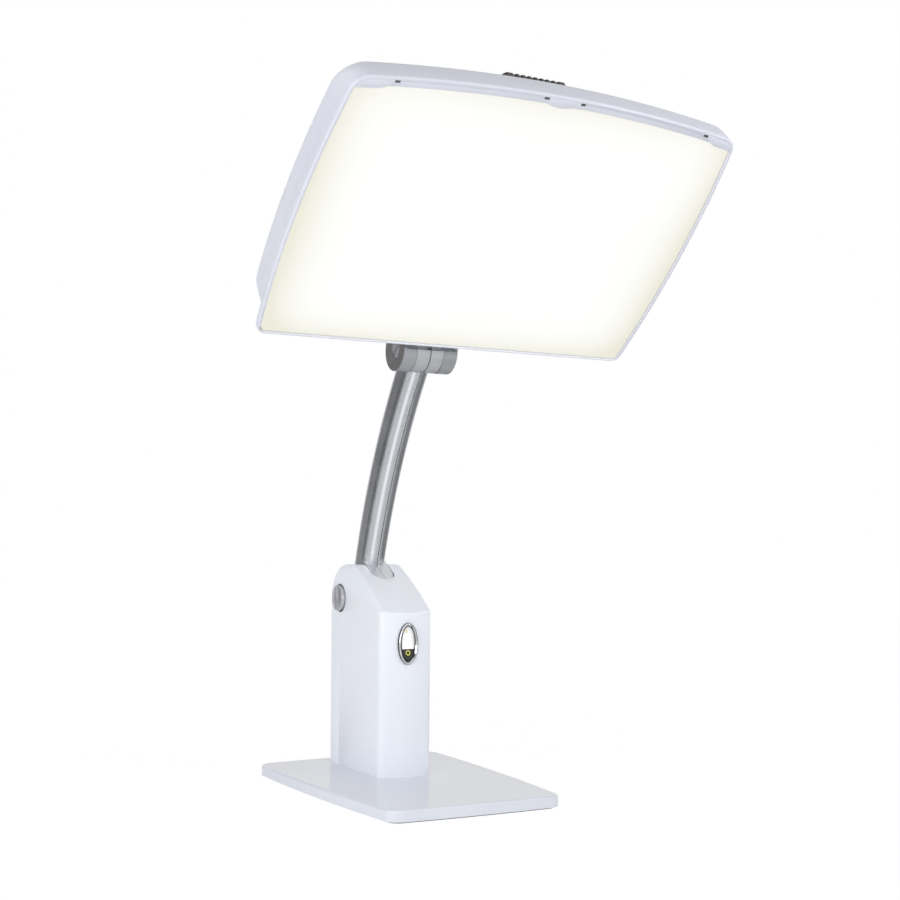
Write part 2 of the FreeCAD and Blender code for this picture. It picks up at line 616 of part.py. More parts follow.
def build_base():
    outer = base_slab("cover_outer", as_size(0), pad_thickness, base_height)
    top = base_height.value

    def on_top(edge):
        return edge.BoundBox.ZMin > top - 0.01

    round_edges(outer, cover_edge_round, on_top)
    hollow = base_slab("cover_hollow", cover_wall, pad_thickness - 1, cover_inner)
    skirt = cut("cover_skirt", outer, [hollow])
    bosses = []
    boss_bores = []
    ballast_holes = []
    plate_holes = []
    screws = []
    for index, (x, y) in enumerate(base_screw_places()):
        tag = "base_screw_%d" % index
        boss_height = cover_inner + 0.5 - ballast_bottom
        bosses.append(rod(tag + "_boss", "Z", (x, y, ballast_bottom), boss_diameter / 2, boss_height))
        boss_bores.append(rod(tag + "_bore", "Z", (x, y, ballast_bottom - 1),
                              base_screw_diameter / 2, cover_inner - ballast_bottom))
        ballast_holes.append(rod(tag + "_clear", "Z", (x, y, ballast_bottom - 1),
                                 boss_diameter / 2 + 3 * screw_fit, ballast_thickness + 2))
        plate_holes.append(rod(tag + "_hole", "Z", (x, y, pad_thickness - 1),
                               base_screw_head / 2 + screw_fit, bottom_thickness + 2))
        screws.append(screw(tag, "Z", (x, y, ballast_bottom), base_screw_diameter,
                            cover_inner - ballast_bottom - 2, base_screw_head, bottom_thickness))
    bolt_holes = []
    bolts = []
    nuts = []
    flange_top = base_height + ear_thickness
    for index, (x, y) in enumerate(flange_bolt_places()):
        tag = "column_bolt_%d" % index
        bolt_holes.append(rod(tag + "_hole", "Z", (x, y, cover_inner - 1), bolt_clear, cover_wall + 2))
        ballast_holes.append(rod(tag + "_clear", "Z", (x, y, ballast_bottom - 1), bolt_clear,
                                 ballast_thickness + 2))
        ballast_holes.append(rod(tag + "_sink", "Z", (x, y, ballast_bottom - 1),
                                 flange_bolt_head / 2 + 2 * screw_fit, bolt_seat - ballast_bottom + 1))
        bolts.append(screw(tag, "Z", (x, y, bolt_seat), flange_bolt_diameter,
                           flange_top + flange_nut_height + 1.5 - bolt_seat,
                           flange_bolt_head, flange_head_height))
        nut = document.addObject("Part::Prism", tag + "_nut_blank")
        nut.Polygon = 6
        bind(nut, "Circumradius", flange_bolt_head / 2)
        bind(nut, "Height", flange_nut_height)
        place(nut, x, y, flange_top)
        bore = rod(tag + "_nut_bore", "Z", (x, y, flange_top - 1), flange_bolt_diameter / 2,
                   flange_nut_height + 2)
        nuts.append(cut(tag + "_nut", nut, [bore]))
    cover = fuse("cover_body", [skirt] + bosses)
    node("base_cover", cut("cover_done", cover, boss_bores + bolt_holes))
    ballast_inset = cover_wall + ballast_gap
    ballast = base_slab("ballast_slab", ballast_inset, ballast_bottom, ballast_top)
    node("ballast_plate", cut("ballast_done", ballast, ballast_holes))
    bottom = base_slab("bottom_slab", ballast_inset, pad_thickness, ballast_bottom)
    node("base_bottom_plate", cut("bottom_done", bottom, plate_holes))
    node("non_slip_pad", base_slab("pad_slab", pad_inset, as_size(0), pad_thickness))
    node("base_screws", group("base_screw_group", screws))
    node("column_bolts", group("column_bolt_group", bolts))
    node("column_nuts", group("column_nut_group", nuts))


# ---------------------------------------------------------------- column
def column_form(name, inset, low):
    """The column's outer form, or the same form shrunk by a wall: its side outline, with
    rounded edges along the top, inside its plan outline, with rounded upright corners."""
    half = column_width / 2 - inset
    corner_y = front_y + column_crown / 2 + inset
    back = back_y - inset
    corners = [(-half, corner_y), (half, corner_y), (half, back), (-half, back)]
    plan = prism(name + "_plan", "XY_Plane", low, top_z + 10, corners, {0: (0, crown_y + inset)})
    round_edges(plan, column_corner - inset * 0.7, is_upright)
    top = top_z - inset
    rise = top_z - base_height - column_front_height
    start_y = front_y - column_crown
    start_z = base_height + column_front_height - column_crown * rise / column_slope_run - inset * 1.2
    ridge_y = front_y + column_slope_run
    middle = ((start_y + ridge_y) / 2, (start_z + top) / 2 + slope_bulge)
    round_y = back_y - column_back_round
    diagonal = (column_back_round - inset) * 0.7071
    centre_z = top_z - column_back_round
    corners = [(start_y, low), (back, low), (back, centre_z), (round_y, top), (ridge_y, top),
               (start_y, start_z)]
    through = {2: (round_y + diagonal, centre_z + diagonal), 4: middle}
    side = prism(name + "_side", "YZ_Plane", -half, half, corners, through)
    shoulder = start_z.value
    ridge = ridge_y.value

    def across_the_ridge(edge):
        return edge.BoundBox.XLength > 1 and abs(edge.BoundBox.YMax - ridge) < 0.01

    round_edges(side, ridge_round - inset, across_the_ridge)

    def along_the_top(edge):
        return edge.BoundBox.XLength < 0.01 and edge.BoundBox.ZMax > shoulder and edge.BoundBox.YLength > 1

    round_edges(side, column_edge_round, along_the_top)
    form = document.addObject("Part::Common", name)
    form.Base = plan
    form.Tool = side
    return form


def shell_screw_places():
    side = column_width / 2 - column_wall - boss_diameter / 2 + post_bite
    return [(x_side * side, base_height + height)
            for x_side in (LEFT, RIGHT) for height in (shell_post_low, shell_post_high)]


def build_column():
    outer = column_form("column_outer", as_size(0), base_height)
    hollow = column_form("column_hollow", column_wall, base_height - 1)
    shell = cut("column_shell", outer, [hollow])
    slot_half = arm_width / 2 + slot_gap
    slot_front = front_y + slot_front_run
    slot_floor = pivot_z + slot_back_rise
    slot_corners = [(slot_half, slot_front + slot_half), (slot_half, back_y + 10),
                    (-slot_half, back_y + 10), (-slot_half, slot_front + slot_half)]
    slot = prism("arm_slot", "XY_Plane", slot_floor, top_z + 20, slot_corners, {3: (0, slot_front)})
    hole_radius = cap_diameter / 2 + cap_gap
    pivot_hole = rod("pivot_hole", "X", (-column_width, pivot_y, pivot_z), hole_radius, column_width * 2)
    seam_low = pivot_y - seam_gap / 2
    seam_high = pivot_y + seam_gap / 2
    big = column_width
    front_half = box("front_half", (-big, front_y - big, base_height - 5), (big, seam_low, top_z + 20))
    rear_half = box("rear_half", (-big, seam_high, base_height - 5), (big, back_y + big, top_z + 20))
    front = document.addObject("Part::Common", "front_wall")
    front.Base = shell
    front.Tool = front_half
    rear = document.addObject("Part::Common", "rear_wall")
    rear.Base = shell
    rear.Tool = rear_half
    front_posts = []
    rear_posts = []
    front_bores = []
    rear_bores = []
    screws = []
    screw_seat = back_y - column_wall - 4
    for index, (x, z) in enumerate(shell_screw_places()):
        tag = "shell_screw_%d" % index
        front_posts.append(rod(tag + "_front_post", "Y", (x, seam_low - shell_post_length, z),
                               boss_diameter / 2, shell_post_length))
        rear_posts.append(rod(tag + "_rear_post", "Y", (x, seam_high, z), boss_diameter / 2,
                              back_y - column_wall + 0.5 - seam_high))
        front_bores.append(rod(tag + "_front_bore", "Y", (x, seam_low - shell_post_length + 2, z),
                               shell_screw_diameter / 2, shell_post_length))
        rear_bores.append(rod(tag + "_rear_bore", "Y", (x, seam_high - 1, z),
                              shell_screw_diameter / 2 + screw_fit, back_y - seam_high))
        rear_bores.append(rod(tag + "_sink", "Y", (x, screw_seat, z),
                              shell_screw_head / 2 + screw_fit, as_size(20)))
        screws.append(screw(tag, "Y", (x, screw_seat, z), shell_screw_diameter,
                            screw_seat - seam_low + shell_post_length - 3,
                            shell_screw_head, as_size(2.5), heading=-1))
    for index, (x, z) in enumerate(board_screw_places()):
        tag = "board_post_%d" % index
        front_posts.append(rod(tag, "Y", (x, front_y + 0.5, z), as_size(3), board_y - front_y - 0.5))
        front_bores.append(rod(tag + "_bore", "Y", (x, board_y - 12, z), as_size(1.25), as_size(13)))
    switch_hole = ellipse_prism("switch_hole", switch_long / 2 - switch_ring + switch_sleeve + screw_fit,
                                switch_wide / 2 - switch_ring + switch_sleeve + screw_fit,
                                front_y - 20, front_y + 20, switch_z)
    jack_hole = rod("jack_hole", "Y", (0, back_y - 10, base_height + jack_height),
                    jack_diameter / 2 + screw_fit, as_size(20))
    front_body = fuse("front_body", [front] + front_posts)
    node("column_front_shell",
         cut("front_done", front_body, front_bores + [slot, pivot_hole, switch_hole]))
    rear_body = fuse("rear_body", [rear] + rear_posts)
    node("column_rear_cover", cut("rear_done", rear_body, rear_bores + [slot, pivot_hole, jack_hole]))
    node("column_screws", group("column_screw_group", screws))


def build_pivot_bracket():
    """A steel U: two ears that carry the pivot shaft, on a bolted foot."""
    half = ear_width / 2
    corners = [(pivot_y - half, base_height), (pivot_y + half, base_height),
               (pivot_y + half, pivot_z), (pivot_y - half, pivot_z)]
    ears = prism("bracket_blank", "YZ_Plane", -ear_outer, ear_outer, corners,
                 {2: (pivot_y, pivot_z + half)})
    gap = box("bracket_gap", (-ear_inner, pivot_y - ear_width, base_height + ear_thickness),
              (ear_inner, pivot_y + ear_width, pivot_z + ear_width))
    tools = [gap, rod("bracket_bore", "X", (-ear_outer - 1, pivot_y, pivot_z),
                      shaft_diameter / 2 + shaft_fit, ear_outer * 2 + 2)]
    for index, (x, y) in enumerate(flange_bolt_places()):
        tools.append(rod("bracket_hole_%d" % index, "Z", (x, y, base_height - 1), bolt_clear,
                         ear_thickness + 2))
    node("pivot_bracket", cut("bracket_done", ears, tools))


def build_pivot():
    cap_outer = column_width / 2 + cap_proud
    cap_inner = cap_outer - cap_thickness
    shaft_end = cap_inner + 1.5
    spring_start = ear_outer
    hub_start = spring_start + spring_thickness
    node("pivot_shaft", rod("pivot_shaft_rod", "X", (-shaft_end, pivot_y, pivot_z),
                            shaft_diameter / 2, shaft_end * 2))
    washers = []
    springs = []
    for side, word in ((LEFT, "left"), (RIGHT, "right")):
        bore = side_rod("washer_bore_" + word, side, foot_half_width, hub_start + 1, pivot_y, pivot_z,
                        shaft_diameter / 2 + shaft_fit)
        disc = side_rod("washer_disc_" + word, side, foot_half_width + side_gap, ear_inner,
                        pivot_y, pivot_z, washer_diameter / 2)
        washers.append(cut("washer_" + word, disc, [bore]))
        spring = side_rod("spring_disc_" + word, side, spring_start, hub_start, pivot_y, pivot_z,
                          cap_hub_diameter / 2)
        springs.append(cut("spring_" + word, spring, [bore]))
        hub = side_rod("cap_hub_" + word, side, hub_start, cap_inner + 0.5, pivot_y, pivot_z,
                       cap_hub_diameter / 2)
        face = side_rod("cap_face_" + word, side, cap_inner, cap_outer, pivot_y, pivot_z, cap_diameter / 2)
        dome = document.addObject("Part::Sphere", "cap_dome_" + word)
        dome.Placement = FreeCAD.Placement(
            FreeCAD.Vector(0, 0, 0), FreeCAD.Rotation(FreeCAD.Vector(0, 0, 1), 90 - 90 * side))
        bind(dome, "Radius", cap_dome)
        place(dome, side * (cap_outer - cap_dome), pivot_y, pivot_z)
        domed = document.addObject("Part::Common", "cap_domed_" + word)
        domed.Base = face
        domed.Tool = dome
        socket = side_rod("cap_socket_" + word, side, hub_start - 1, shaft_end + 0.1, pivot_y, pivot_z,
                          shaft_diameter / 2 + shaft_fit)
        groove_low = cap_outer - slot_depth
        groove_ends = [groove_low, cap_outer + 5] if side == RIGHT else [-cap_outer - 5, -groove_low]
        groove = box("cap_groove_" + word,
                     (groove_ends[0], pivot_y - cap_slot_width / 2, pivot_z - cap_diameter),
                     (groove_ends[1], pivot_y + cap_slot_width / 2, pivot_z + cap_diameter))
        blank = fuse("cap_blank_" + word, [hub, domed])
        node("pivot_cap_" + word, cut("cap_" + word, blank, [socket, groove]))
    node("friction_washers", group("washer_group", washers))
    node("spring_washers", group("spring_group", springs))


# ---------------------------------------------------------------- switch
sleeve_half_height = switch_long / 2 - switch_ring + switch_sleeve
sleeve_half_width = switch_wide / 2 - switch_ring + switch_sleeve
bore_half_height = switch_long / 2 - switch_ring
bore_half_width = switch_wide / 2 - switch_ring
switch_back = crown_y + switch_sleeve_depth
rocker_y = crown_y + rocker_pivot_depth


def build_switch():
    ring = ellipse_prism("switch_ring_solid", switch_long / 2, switch_wide / 2,
                         crown_y - switch_proud, crown_y, switch_z)
    sleeve = ellipse_prism("switch_sleeve_solid", sleeve_half_height, sleeve_half_width,
                           crown_y - 1, switch_back, switch_z)
    bore = ellipse_prism("switch_bore", bore_half_height, bore_half_width, crown_y - 10,
                         switch_back + 1, switch_z)
    axle_hole = rod("switch_axle_hole", "X", (-switch_wide, rocker_y, switch_z),
                    rocker_axle / 2 + shaft_fit, switch_wide * 2)
    body = fuse("switch_bezel_body", [ring, sleeve])
    node("switch_bezel", cut("switch_bezel_done", body, [bore, axle_hole]))
    half_width = switch_body_width / 2
    half_height = switch_body_height / 2
    body_back = switch_back + switch_body_depth
    node("switch_body", box("switch_body_box", (-half_width, switch_back, switch_z - half_height),
                            (half_width, body_back, switch_z + half_height)))
    blades = []
    for index in range(3):
        z = switch_z + (index - 1) * (switch_body_height / 3)
        blades.append(box("switch_blade_%d" % index,
                          (-blade_width / 2, body_back, z - blade_thickness / 2),
                          (blade_width / 2, body_back + blade_length, z + blade_thickness / 2)))
    node("switch_terminals", group("switch_blade_group", blades))


def build_rocker():
    """The rocker, made level about its axle and seated with its upper end pressed."""
    half_height = bore_half_height - rocker_gap
    half_width = bore_half_width - rocker_gap
    front = -rocker_pivot_depth - rocker_gap
    oval = ellipse_prism("rocker_oval", half_height, half_width, front, rocker_back, as_size(0))
    end = half_height + 5
    corners = [(front + rocker_dish, as_size(0)), (front, end), (rocker_back, end * 0.35),
               (rocker_back, -end * 0.35), (front, -end)]
    wedge = prism("rocker_wedge", "YZ_Plane", -switch_wide, switch_wide, corners)
    face = document.addObject("Part::Common", "rocker_face")
    face.Base = oval
    face.Tool = wedge
    axle = rod("rocker_axle_rod", "X", (-sleeve_half_width + 0.4, 0, 0), rocker_axle / 2,
               sleeve_half_width * 2 - 0.8)
    node("switch_rocker", fuse("rocker_done", [face, axle]), ROCKER_FRAME)


# ---------------------------------------------------------------- inlet and driver board
board_y = front_y + board_setback
board_z = base_height + board_bottom


def board_screw_places():
    places = []
    for x_side in (LEFT, RIGHT):
        for z in (board_z + board_hole_inset, board_z + board_height - board_hole_inset):
            places.append((x_side * (board_width / 2 - board_hole_inset), z))
    return places


def build_inlet():
    z = base_height + jack_height
    flange = rod("jack_flange_disc", "Y", (0, back_y, z), jack_flange_diameter / 2, jack_flange)
    barrel = rod("jack_barrel", "Y", (0, back_y + 0.5 - jack_body_length, z), jack_diameter / 2,
                 jack_body_length)
    body = fuse("jack_body", [flange, barrel])
    bore = rod("jack_bore_tool", "Y", (0, back_y - jack_bore_depth, z), jack_bore / 2, jack_bore_depth * 2)
    node("power_inlet", cut("jack_done", body, [bore]))
    node("power_inlet_pin", rod("jack_pin", "Y", (0, back_y - jack_bore_depth, z), jack_pin_diameter / 2,
                                jack_bore_depth - 1))
    nut = document.addObject("Part::Prism", "jack_nut_blank")
    nut.Polygon = 6
    bind(nut, "Circumradius", jack_flange_diameter / 2)
    bind(nut, "Height", jack_nut)
    nut.Placement = FreeCAD.Placement(
        FreeCAD.Vector(0, 0, 0), FreeCAD.Rotation(FreeCAD.Vector(1, 0, 0), 90))
    place(nut, 0, back_y - column_wall, z)
    nut_bore = rod("jack_nut_bore", "Y", (0, back_y - 15, z), jack_diameter / 2, as_size(20))
    node("power_inlet_nut", cut("jack_nut_done", nut, [nut_bore]))


def build_driver():
    half = board_width / 2
    back = board_y + board_thickness
    board = box("board_blank", (-half, board_y, board_z), (half, back, board_z + board_height))
    holes = []
    screws = []
    for index, (x, z) in enumerate(board_screw_places()):
        holes.append(rod("board_hole_%d" % index, "Y", (x, board_y - 1, z), as_size(1.35),
                         board_thickness + 2))
        screws.append(screw("board_screw_%d" % index, "Y", (x, back, z), as_size(2.5),
                            board_thickness + 8, as_size(5), as_size(1.8), heading=-1))
    node("driver_board", cut("board_done", board, holes))
    node("driver_screws", group("driver_screw_group", screws))
    coil = box("driver_coil", (-12, back, board_z + 30), (8, back + 18, board_z + 50))
    fin = box("driver_fin", (-16, back, board_z + 62), (16, back + 14, board_z + 65))
    plug = box("driver_plug", (-9, back, board_z + 6), (9, back + 9, board_z + 14))
    chip = box("driver_chip", (10, back, board_z + 52), (16, back + 2, board_z + 59))
    parts = [coil, fin, plug, chip]
    for index, x in enumerate((-10, 4)):
        parts.append(rod("driver_can_%d" % index, "Y", (x, back, board_z + 21), as_size(5), as_size(16)))
    node("driver_components", group("driver_parts", parts))


def cable(label, points, radius, bend):
    """A round cable: straight runs joined by arcs, along points in its own frame."""
    points = [FreeCAD.Vector(*[as_size(value).value for value in point]) for point in points]
    edges = []
    start = points[0]
    for before, corner, after in zip(points, points[1:], points[2:]):
        into = (corner - before).normalize()
        out = (after - corner).normalize()
        half_turn = into.getAngle(out) / 2
        reach = bend.value * math.tan(half_turn)
        enter = corner - into * reach
        leave = corner + out * reach
        middle = corner + (out - into).normalize() * (bend.value / math.cos(half_turn) - bend.value)
        edges.append(Part.LineSegment(start, enter).toShape())
        edges.append(Part.Arc(enter, middle, leave).toShape())
        start = leave
    edges.append(Part.LineSegment(start, points[-1]).toShape())
    path = Part.Wire(edges)
    ring = Part.Wire([Part.Circle(points[0], points[1] - points[0], radius.value).toShape()])
    thing = document.addObject("Part::Feature", label + "_tube")
    thing.Shape = path.makePipeShell([ring], True, False)
    return thing


def build_stand_cables():
    radius = cable_diameter / 4
    bend = as_size(8)
    back = board_y + board_thickness
    inlet_z = base_height + jack_height
    inlet = cable("inlet_cable", [(0, back_y - jack_body_length + 0.5, inlet_z), (0, back + 22, inlet_z),
                                  (0, back + 22, board_z + 10), (0, back + 9, board_z + 10)],
                  radius, as_size(5))
    switch_end = switch_back + switch_body_depth + blade_length
    feed = cable("switch_cable", [(0, back, board_z + 74), (0, back + 26, board_z + 74),
                                  (0, back + 26, switch_z), (0, switch_end, switch_z)], radius, bend)
    node("stand_cables", group("stand_cable_group", [inlet, feed]))


# ---------------------------------------------------------------- arm
def arm_section(side, inset):
    """Half of the arm's oval section, about the arm's centreline, with a seam chamfer."""
    half = arm_width / 2 - inset
    reach = arm_depth / 2 - inset
    straight = reach - half
    chamfer = seam_chamfer
    dip = reach - (half - root(half * half - chamfer * chamfer))
    diagonal = half * 0.7071
    corners = [(as_size(0), arm_radius - reach + chamfer), (side * chamfer, arm_radius - dip),
               (side * half, arm_radius - straight), (side * half, arm_radius + straight),
               (side * chamfer, arm_radius + dip), (as_size(0), arm_radius + reach - chamfer)]
    through = {1: (side * diagonal, arm_radius - straight - diagonal),
               3: (side * diagonal, arm_radius + straight + diagonal)}
    return corners, through


def turned(name, corners, through, angle):
    """A body turned about its X axis by an angle, from the XY plane towards +Z."""
    body = document.addObject("PartDesign::Body", name)
    sketch = plane_sketch(body, "XY_Plane", as_size(0))
    draw_outline(sketch, corners, through)
    feature = body.newObject("PartDesign::Revolution", name + "_turn")
    feature.Profile = sketch
    feature.ReferenceAxis = (sketch, ["H_Axis"])
    bind(feature, "Angle", angle)
    return body


def turn_to(thing, angle):
    """Start a turned body at an angle round the arm's arc."""
    return seat(thing, (as_size(0), as_size(0), as_size(0), angle))


def arm_pancake(name, side, radius, y, z):
    """A round-rimmed half disc with the arm's own edge, about an X axis."""
    half = arm_width / 2
    diagonal = half * 0.7071
    rim = radius - (half - root(half * half - seam_chamfer * seam_chamfer))
    corners = [(as_size(0), as_size(0)), (side * half, as_size(0)), (side * half, radius - half),
               (side * seam_chamfer, rim), (as_size(0), radius - seam_chamfer)]
    body = turned(name, corners, {2: (side * diagonal, radius - half + diagonal)}, as_size(360))
    return place(body, 0, y, z)


def arc_tube(name, track, radius, start, stop):
    """A tube along the arm's arc, from one angle to another."""
    body = document.addObject("PartDesign::Body", name)
    sketch = plane_sketch(body, "XY_Plane", as_size(0))
    draw_circle(sketch, (as_size(0), track), radius)
    feature = body.newObject("PartDesign::Revolution", name + "_turn")
    feature.Profile = sketch
    feature.ReferenceAxis = (sketch, ["H_Axis"])
    bind(feature, "Angle", stop - start)
    return turn_to(body, start)


def foot_cover(name, side):
    """The foot's slot cover: a wedge that fills the slot in front of the arm."""
    rise = column_height - column_front_height
    slope_length = root(rise * rise + column_slope_run * column_slope_run)
    slope_sin = rise / slope_length
    slope_cos = column_slope_run / slope_length
    knee_y = front_y + column_slope_run
    height = (pivot_y - knee_y) * slope_sin + (top_z - pivot_z) * slope_cos - foot_drop
    lean_sin = slope_sin * cosine(arm_start_angle) - slope_cos * sine(arm_start_angle)
    lean_cos = slope_cos * cosine(arm_start_angle) + slope_sin * sine(arm_start_angle)

    def point(along, up):
        """A point from its distances along and square to the column's sloping face."""
        return (arm_radius - along * lean_cos - up * lean_sin, up * lean_cos - along * lean_sin)

    far = foot_reach + 5
    low = as_size(0) if side == RIGHT else -foot_half_width
    high = foot_half_width if side == RIGHT else as_size(0)
    corners = [point(as_size(-6), height), point(far, height), point(far, foot_tail),
               point(as_size(10), as_size(-18)), point(as_size(-10), as_size(0))]
    wedge = prism(name + "_wedge", "YZ_Plane", low, high, corners)
    shoulder = foot_reach - foot_round
    diagonal = foot_round * 0.7071
    inner = foot_half_width - foot_round
    corners = [(as_size(0), as_size(0)), (side * foot_half_width, as_size(0)),
               (side * foot_half_width, shoulder), (side * inner, foot_reach),
               (as_size(0), foot_reach)]
    through = {2: (side * (inner + diagonal), shoulder + diagonal)}
    rim = place(turned(name + "_rim", corners, through, as_size(360)), 0, arm_radius, 0)
    trimmed = document.addObject("Part::Common", name + "_trimmed")
    trimmed.Base = wedge
    trimmed.Tool = rim
    corners = [point(as_size(-2), height - seam_groove), point(far, height - seam_groove),
               point(far, height + 2), point(as_size(-2), height + 2)]
    groove_low = as_size(-1) if side == RIGHT else -seam_groove
    groove_high = seam_groove if side == RIGHT else as_size(1)
    groove = prism(name + "_seam", "YZ_Plane", groove_low, groove_high, corners)
    return cut(name, trimmed, [groove])


def relief_tool(name, frame):
    """The step cut in the barrel's upper front, parallel to the panel's face."""
    half = relief_width / 2
    reach = barrel_diameter
    depth = hinge_depth - neck_front
    block = box(name + "_block", (-half, relief_rise, depth), (half, reach, depth + reach))
    tool = fuse(name, [block, box(name + "_more", (-half + 5, relief_rise - 0.01, depth),
                                  (half - 5, reach, depth + reach))])
    return seat(tool, frame)


def arm_screw_angles():
    return [arm_screw_angle, arm_sweep_angle / 2, arm_sweep_angle - arm_screw_margin]


def build_arm():
    knuckle_half = knuckle_length / 2
    radius = barrel_diameter / 2
    screw_track = arm_radius - 4
    hollow_angle = arm_sweep_angle - arm_bore_start - arm_bore_margin
    relief_frame = (as_size(0), arm_hinge_y, arm_hinge_z, panel_lean + 90 - arm_start_angle)
    for side, word in ((LEFT, "left"), (RIGHT, "right")):
        corners, through = arm_section(side, as_size(0))
        sweep = turned("arm_sweep_" + word, corners, through, arm_sweep_angle)
        end = arm_pancake("arm_end_" + word, side, arm_depth / 2, arm_end_y, arm_end_z)
        foot = arm_pancake("arm_foot_" + word, side, foot_radius, arm_radius, as_size(0))
        cover = foot_cover("foot_cover_" + word, side)
        inner = side_rod("knuckle_inner_" + word, side, 0, seam_groove + 0.5, arm_hinge_y, arm_hinge_z,
                         radius - seam_groove)
        knuckle = side_rod("knuckle_" + word, side, seam_groove, knuckle_half - seam_groove,
                           arm_hinge_y, arm_hinge_z, radius)
        outer = side_rod("knuckle_outer_" + word, side, knuckle_half - seam_groove - 0.5, knuckle_half,
                         arm_hinge_y, arm_hinge_z, radius - seam_groove)
        blank = fuse("arm_blank_" + word, [sweep, end, foot, cover, inner, knuckle, outer])
        corners, through = arm_section(side, arm_wall)
        hollow = turn_to(turned("arm_hollow_" + word, corners, through, hollow_angle), arm_bore_start)
        tools = [side_rod("foot_bore_" + word, side, -1, knuckle_half * 2, arm_radius, 0,
                          shaft_diameter / 2 + shaft_fit),
                 side_rod("knuckle_bore_" + word, side, -1, knuckle_half + 1, arm_hinge_y, arm_hinge_z,
                          hinge_pin_diameter / 2 + shaft_fit),
                 arc_tube("cable_way_" + word, arm_radius + cable_offset,
                          cable_diameter / 2 + 3 * screw_fit, as_size(-3), arm_sweep_angle + 3),
                 relief_tool("knuckle_relief_" + word, relief_frame)]
        pillars = []
        for index, angle in enumerate(arm_screw_angles()):
            y = screw_track * cosine(angle)
            z = screw_track * sine(angle)
            bore = arm_screw_diameter / 2 if side == LEFT else arm_screw_diameter / 2 + screw_fit
            reach = foot_half_width - 3 if side == LEFT else foot_half_width + 1
            tools.append(side_rod("arm_screw_bore_%s_%d" % (word, index), side, -1, reach, y, z, bore))
            if side == RIGHT:
                tools.append(side_rod("arm_screw_sink_%d" % index, side, foot_half_width - arm_screw_sink,
                                      foot_half_width + 5, y, z, arm_screw_head / 2 + screw_fit))
            if index == 1:
                pillars.append(side_rod("arm_pillar_" + word, side, 0, foot_half_width - 1, y, z,
                                        arm_screw_head / 2 + 1.6))
        shell = fuse("arm_shell_" + word, [cut("arm_open_" + word, blank, [hollow])] + pillars)
        node("arm_%s_half" % word, cut("arm_done_" + word, shell, tools), ARM_FRAME)
    screws = []
    for index, angle in enumerate(arm_screw_angles()):
        seat_point = (foot_half_width - arm_screw_sink, screw_track * cosine(angle),
                      screw_track * sine(angle))
        screws.append(screw("arm_screw_%d" % index, "X", seat_point, arm_screw_diameter,
                            (foot_half_width - arm_screw_sink) * 2, arm_screw_head, as_size(3),
                            heading=-1))
    node("arm_screws", group("arm_screw_group", screws), ARM_FRAME)
    tube = arc_tube("arm_cable_tube", arm_radius + cable_offset, cable_diameter / 2,
                    cable_foot_angle, arm_sweep_angle + cable_top_angle)
    node("arm_cable", group("arm_cable_group", [tube]), ARM_FRAME)


# ---------------------------------------------------------------- light panel
def side_reach(height, grow):
    """Half the screen's width at a height above its lower edge, grown by a margin."""
    share = height / screen_side_height
    bottom = screen_bottom_width / 2
    top = screen_top_width / 2
    return bottom + (top - bottom) * share + 4 * screen_side_bulge * share * (1 - share) + grow


def top_reach(across, grow):
    """The screen's height at a distance from the middle, grown by a margin."""
    share = across / (screen_top_width / 2)
    arch = screen_middle_height - screen_side_height
    return screen_side_height + arch * (1 - share * share) + grow


def panel_outline(grow, bottom=None, top_drop=0, corner_growth=0):
    """The screen's outline grown by a margin, with a low edge of its own where given."""
    low = -as_size(grow) if bottom is None else as_size(bottom)
    outward = grow if as_size(grow).value > 0 else 0
    low_radius = screen_low_corner + outward
    top_radius = screen_top_corner + outward + corner_growth
    side_low = low + low_radius
    corner_top = screen_side_height + grow - top_drop
    side_high = corner_top - top_radius
    low_x = side_reach(low, grow)
    side_low_x = side_reach(side_low, grow)
    side_high_x = side_reach(side_high, grow)
    top_x = side_reach(corner_top, grow) - top_radius
    top_y = top_reach(top_x, grow) - top_drop
    bulge = 0.2071
    low_via = ((low_x - low_radius + side_low_x) / 2 + low_radius * bulge,
               (low + side_low) / 2 - low_radius * bulge)
    top_via = ((side_high_x + top_x) / 2 + top_radius * bulge,
               (side_high + top_y) / 2 + top_radius * bulge)
    middle_y = (side_low + side_high) / 2
    middle_x = side_reach(middle_y, grow)
    right = [(low_x - low_radius, low), (side_low_x, side_low), (side_high_x, side_high), (top_x, top_y)]
    corners = right + [(-x, y) for x, y in reversed(right)]
    through = {0: low_via, 1: (middle_x, middle_y), 2: top_via,
               3: (as_size(0), screen_middle_height + grow - top_drop),
               4: (-top_via[0], top_via[1]), 5: (-middle_x, middle_y), 6: (-low_via[0], low_via[1])}
    return corners, through


def panel_slab(name, grow, front, back, bottom=None):
    """A slab of the panel between two depths behind its face."""
    corners, through = panel_outline(grow, bottom)
    return prism(name, "XY_Plane", -as_size(back), -as_size(front), corners, through)


def panel_box(name, low, high):
    """A block in the panel's frame: across, up, and depth behind the face."""
    return box(name, (low[0], low[1], -as_size(high[2])), (high[0], high[1], -as_size(low[2])))


def panel_rod(name, x, y, front, back, radius):
    """A cylinder square to the panel's face, between two depths."""
    return rod(name, "Z", (x, y, -as_size(back)), radius, as_size(back) - front)


def panel_screw(name, x, y, seat_depth, thread, length, head, head_height):
    shank = panel_rod(name + "_shank", x, y, seat_depth, seat_depth + length, thread / 2)
    cap = panel_rod(name + "_head", x, y, seat_depth - head_height, seat_depth, head / 2)
    return fuse(name, [shank, cap])


bezel_grow = screen_gap + rim_width
rim_bottom = -(screen_gap + rim_low)
shell_bottom = housing_bottom + shell_step
tray_bottom = shell_bottom + shell_wall + tray_gap
screen_back = screen_recess + screen_thickness
ledge_back = screen_back + ledge_thickness


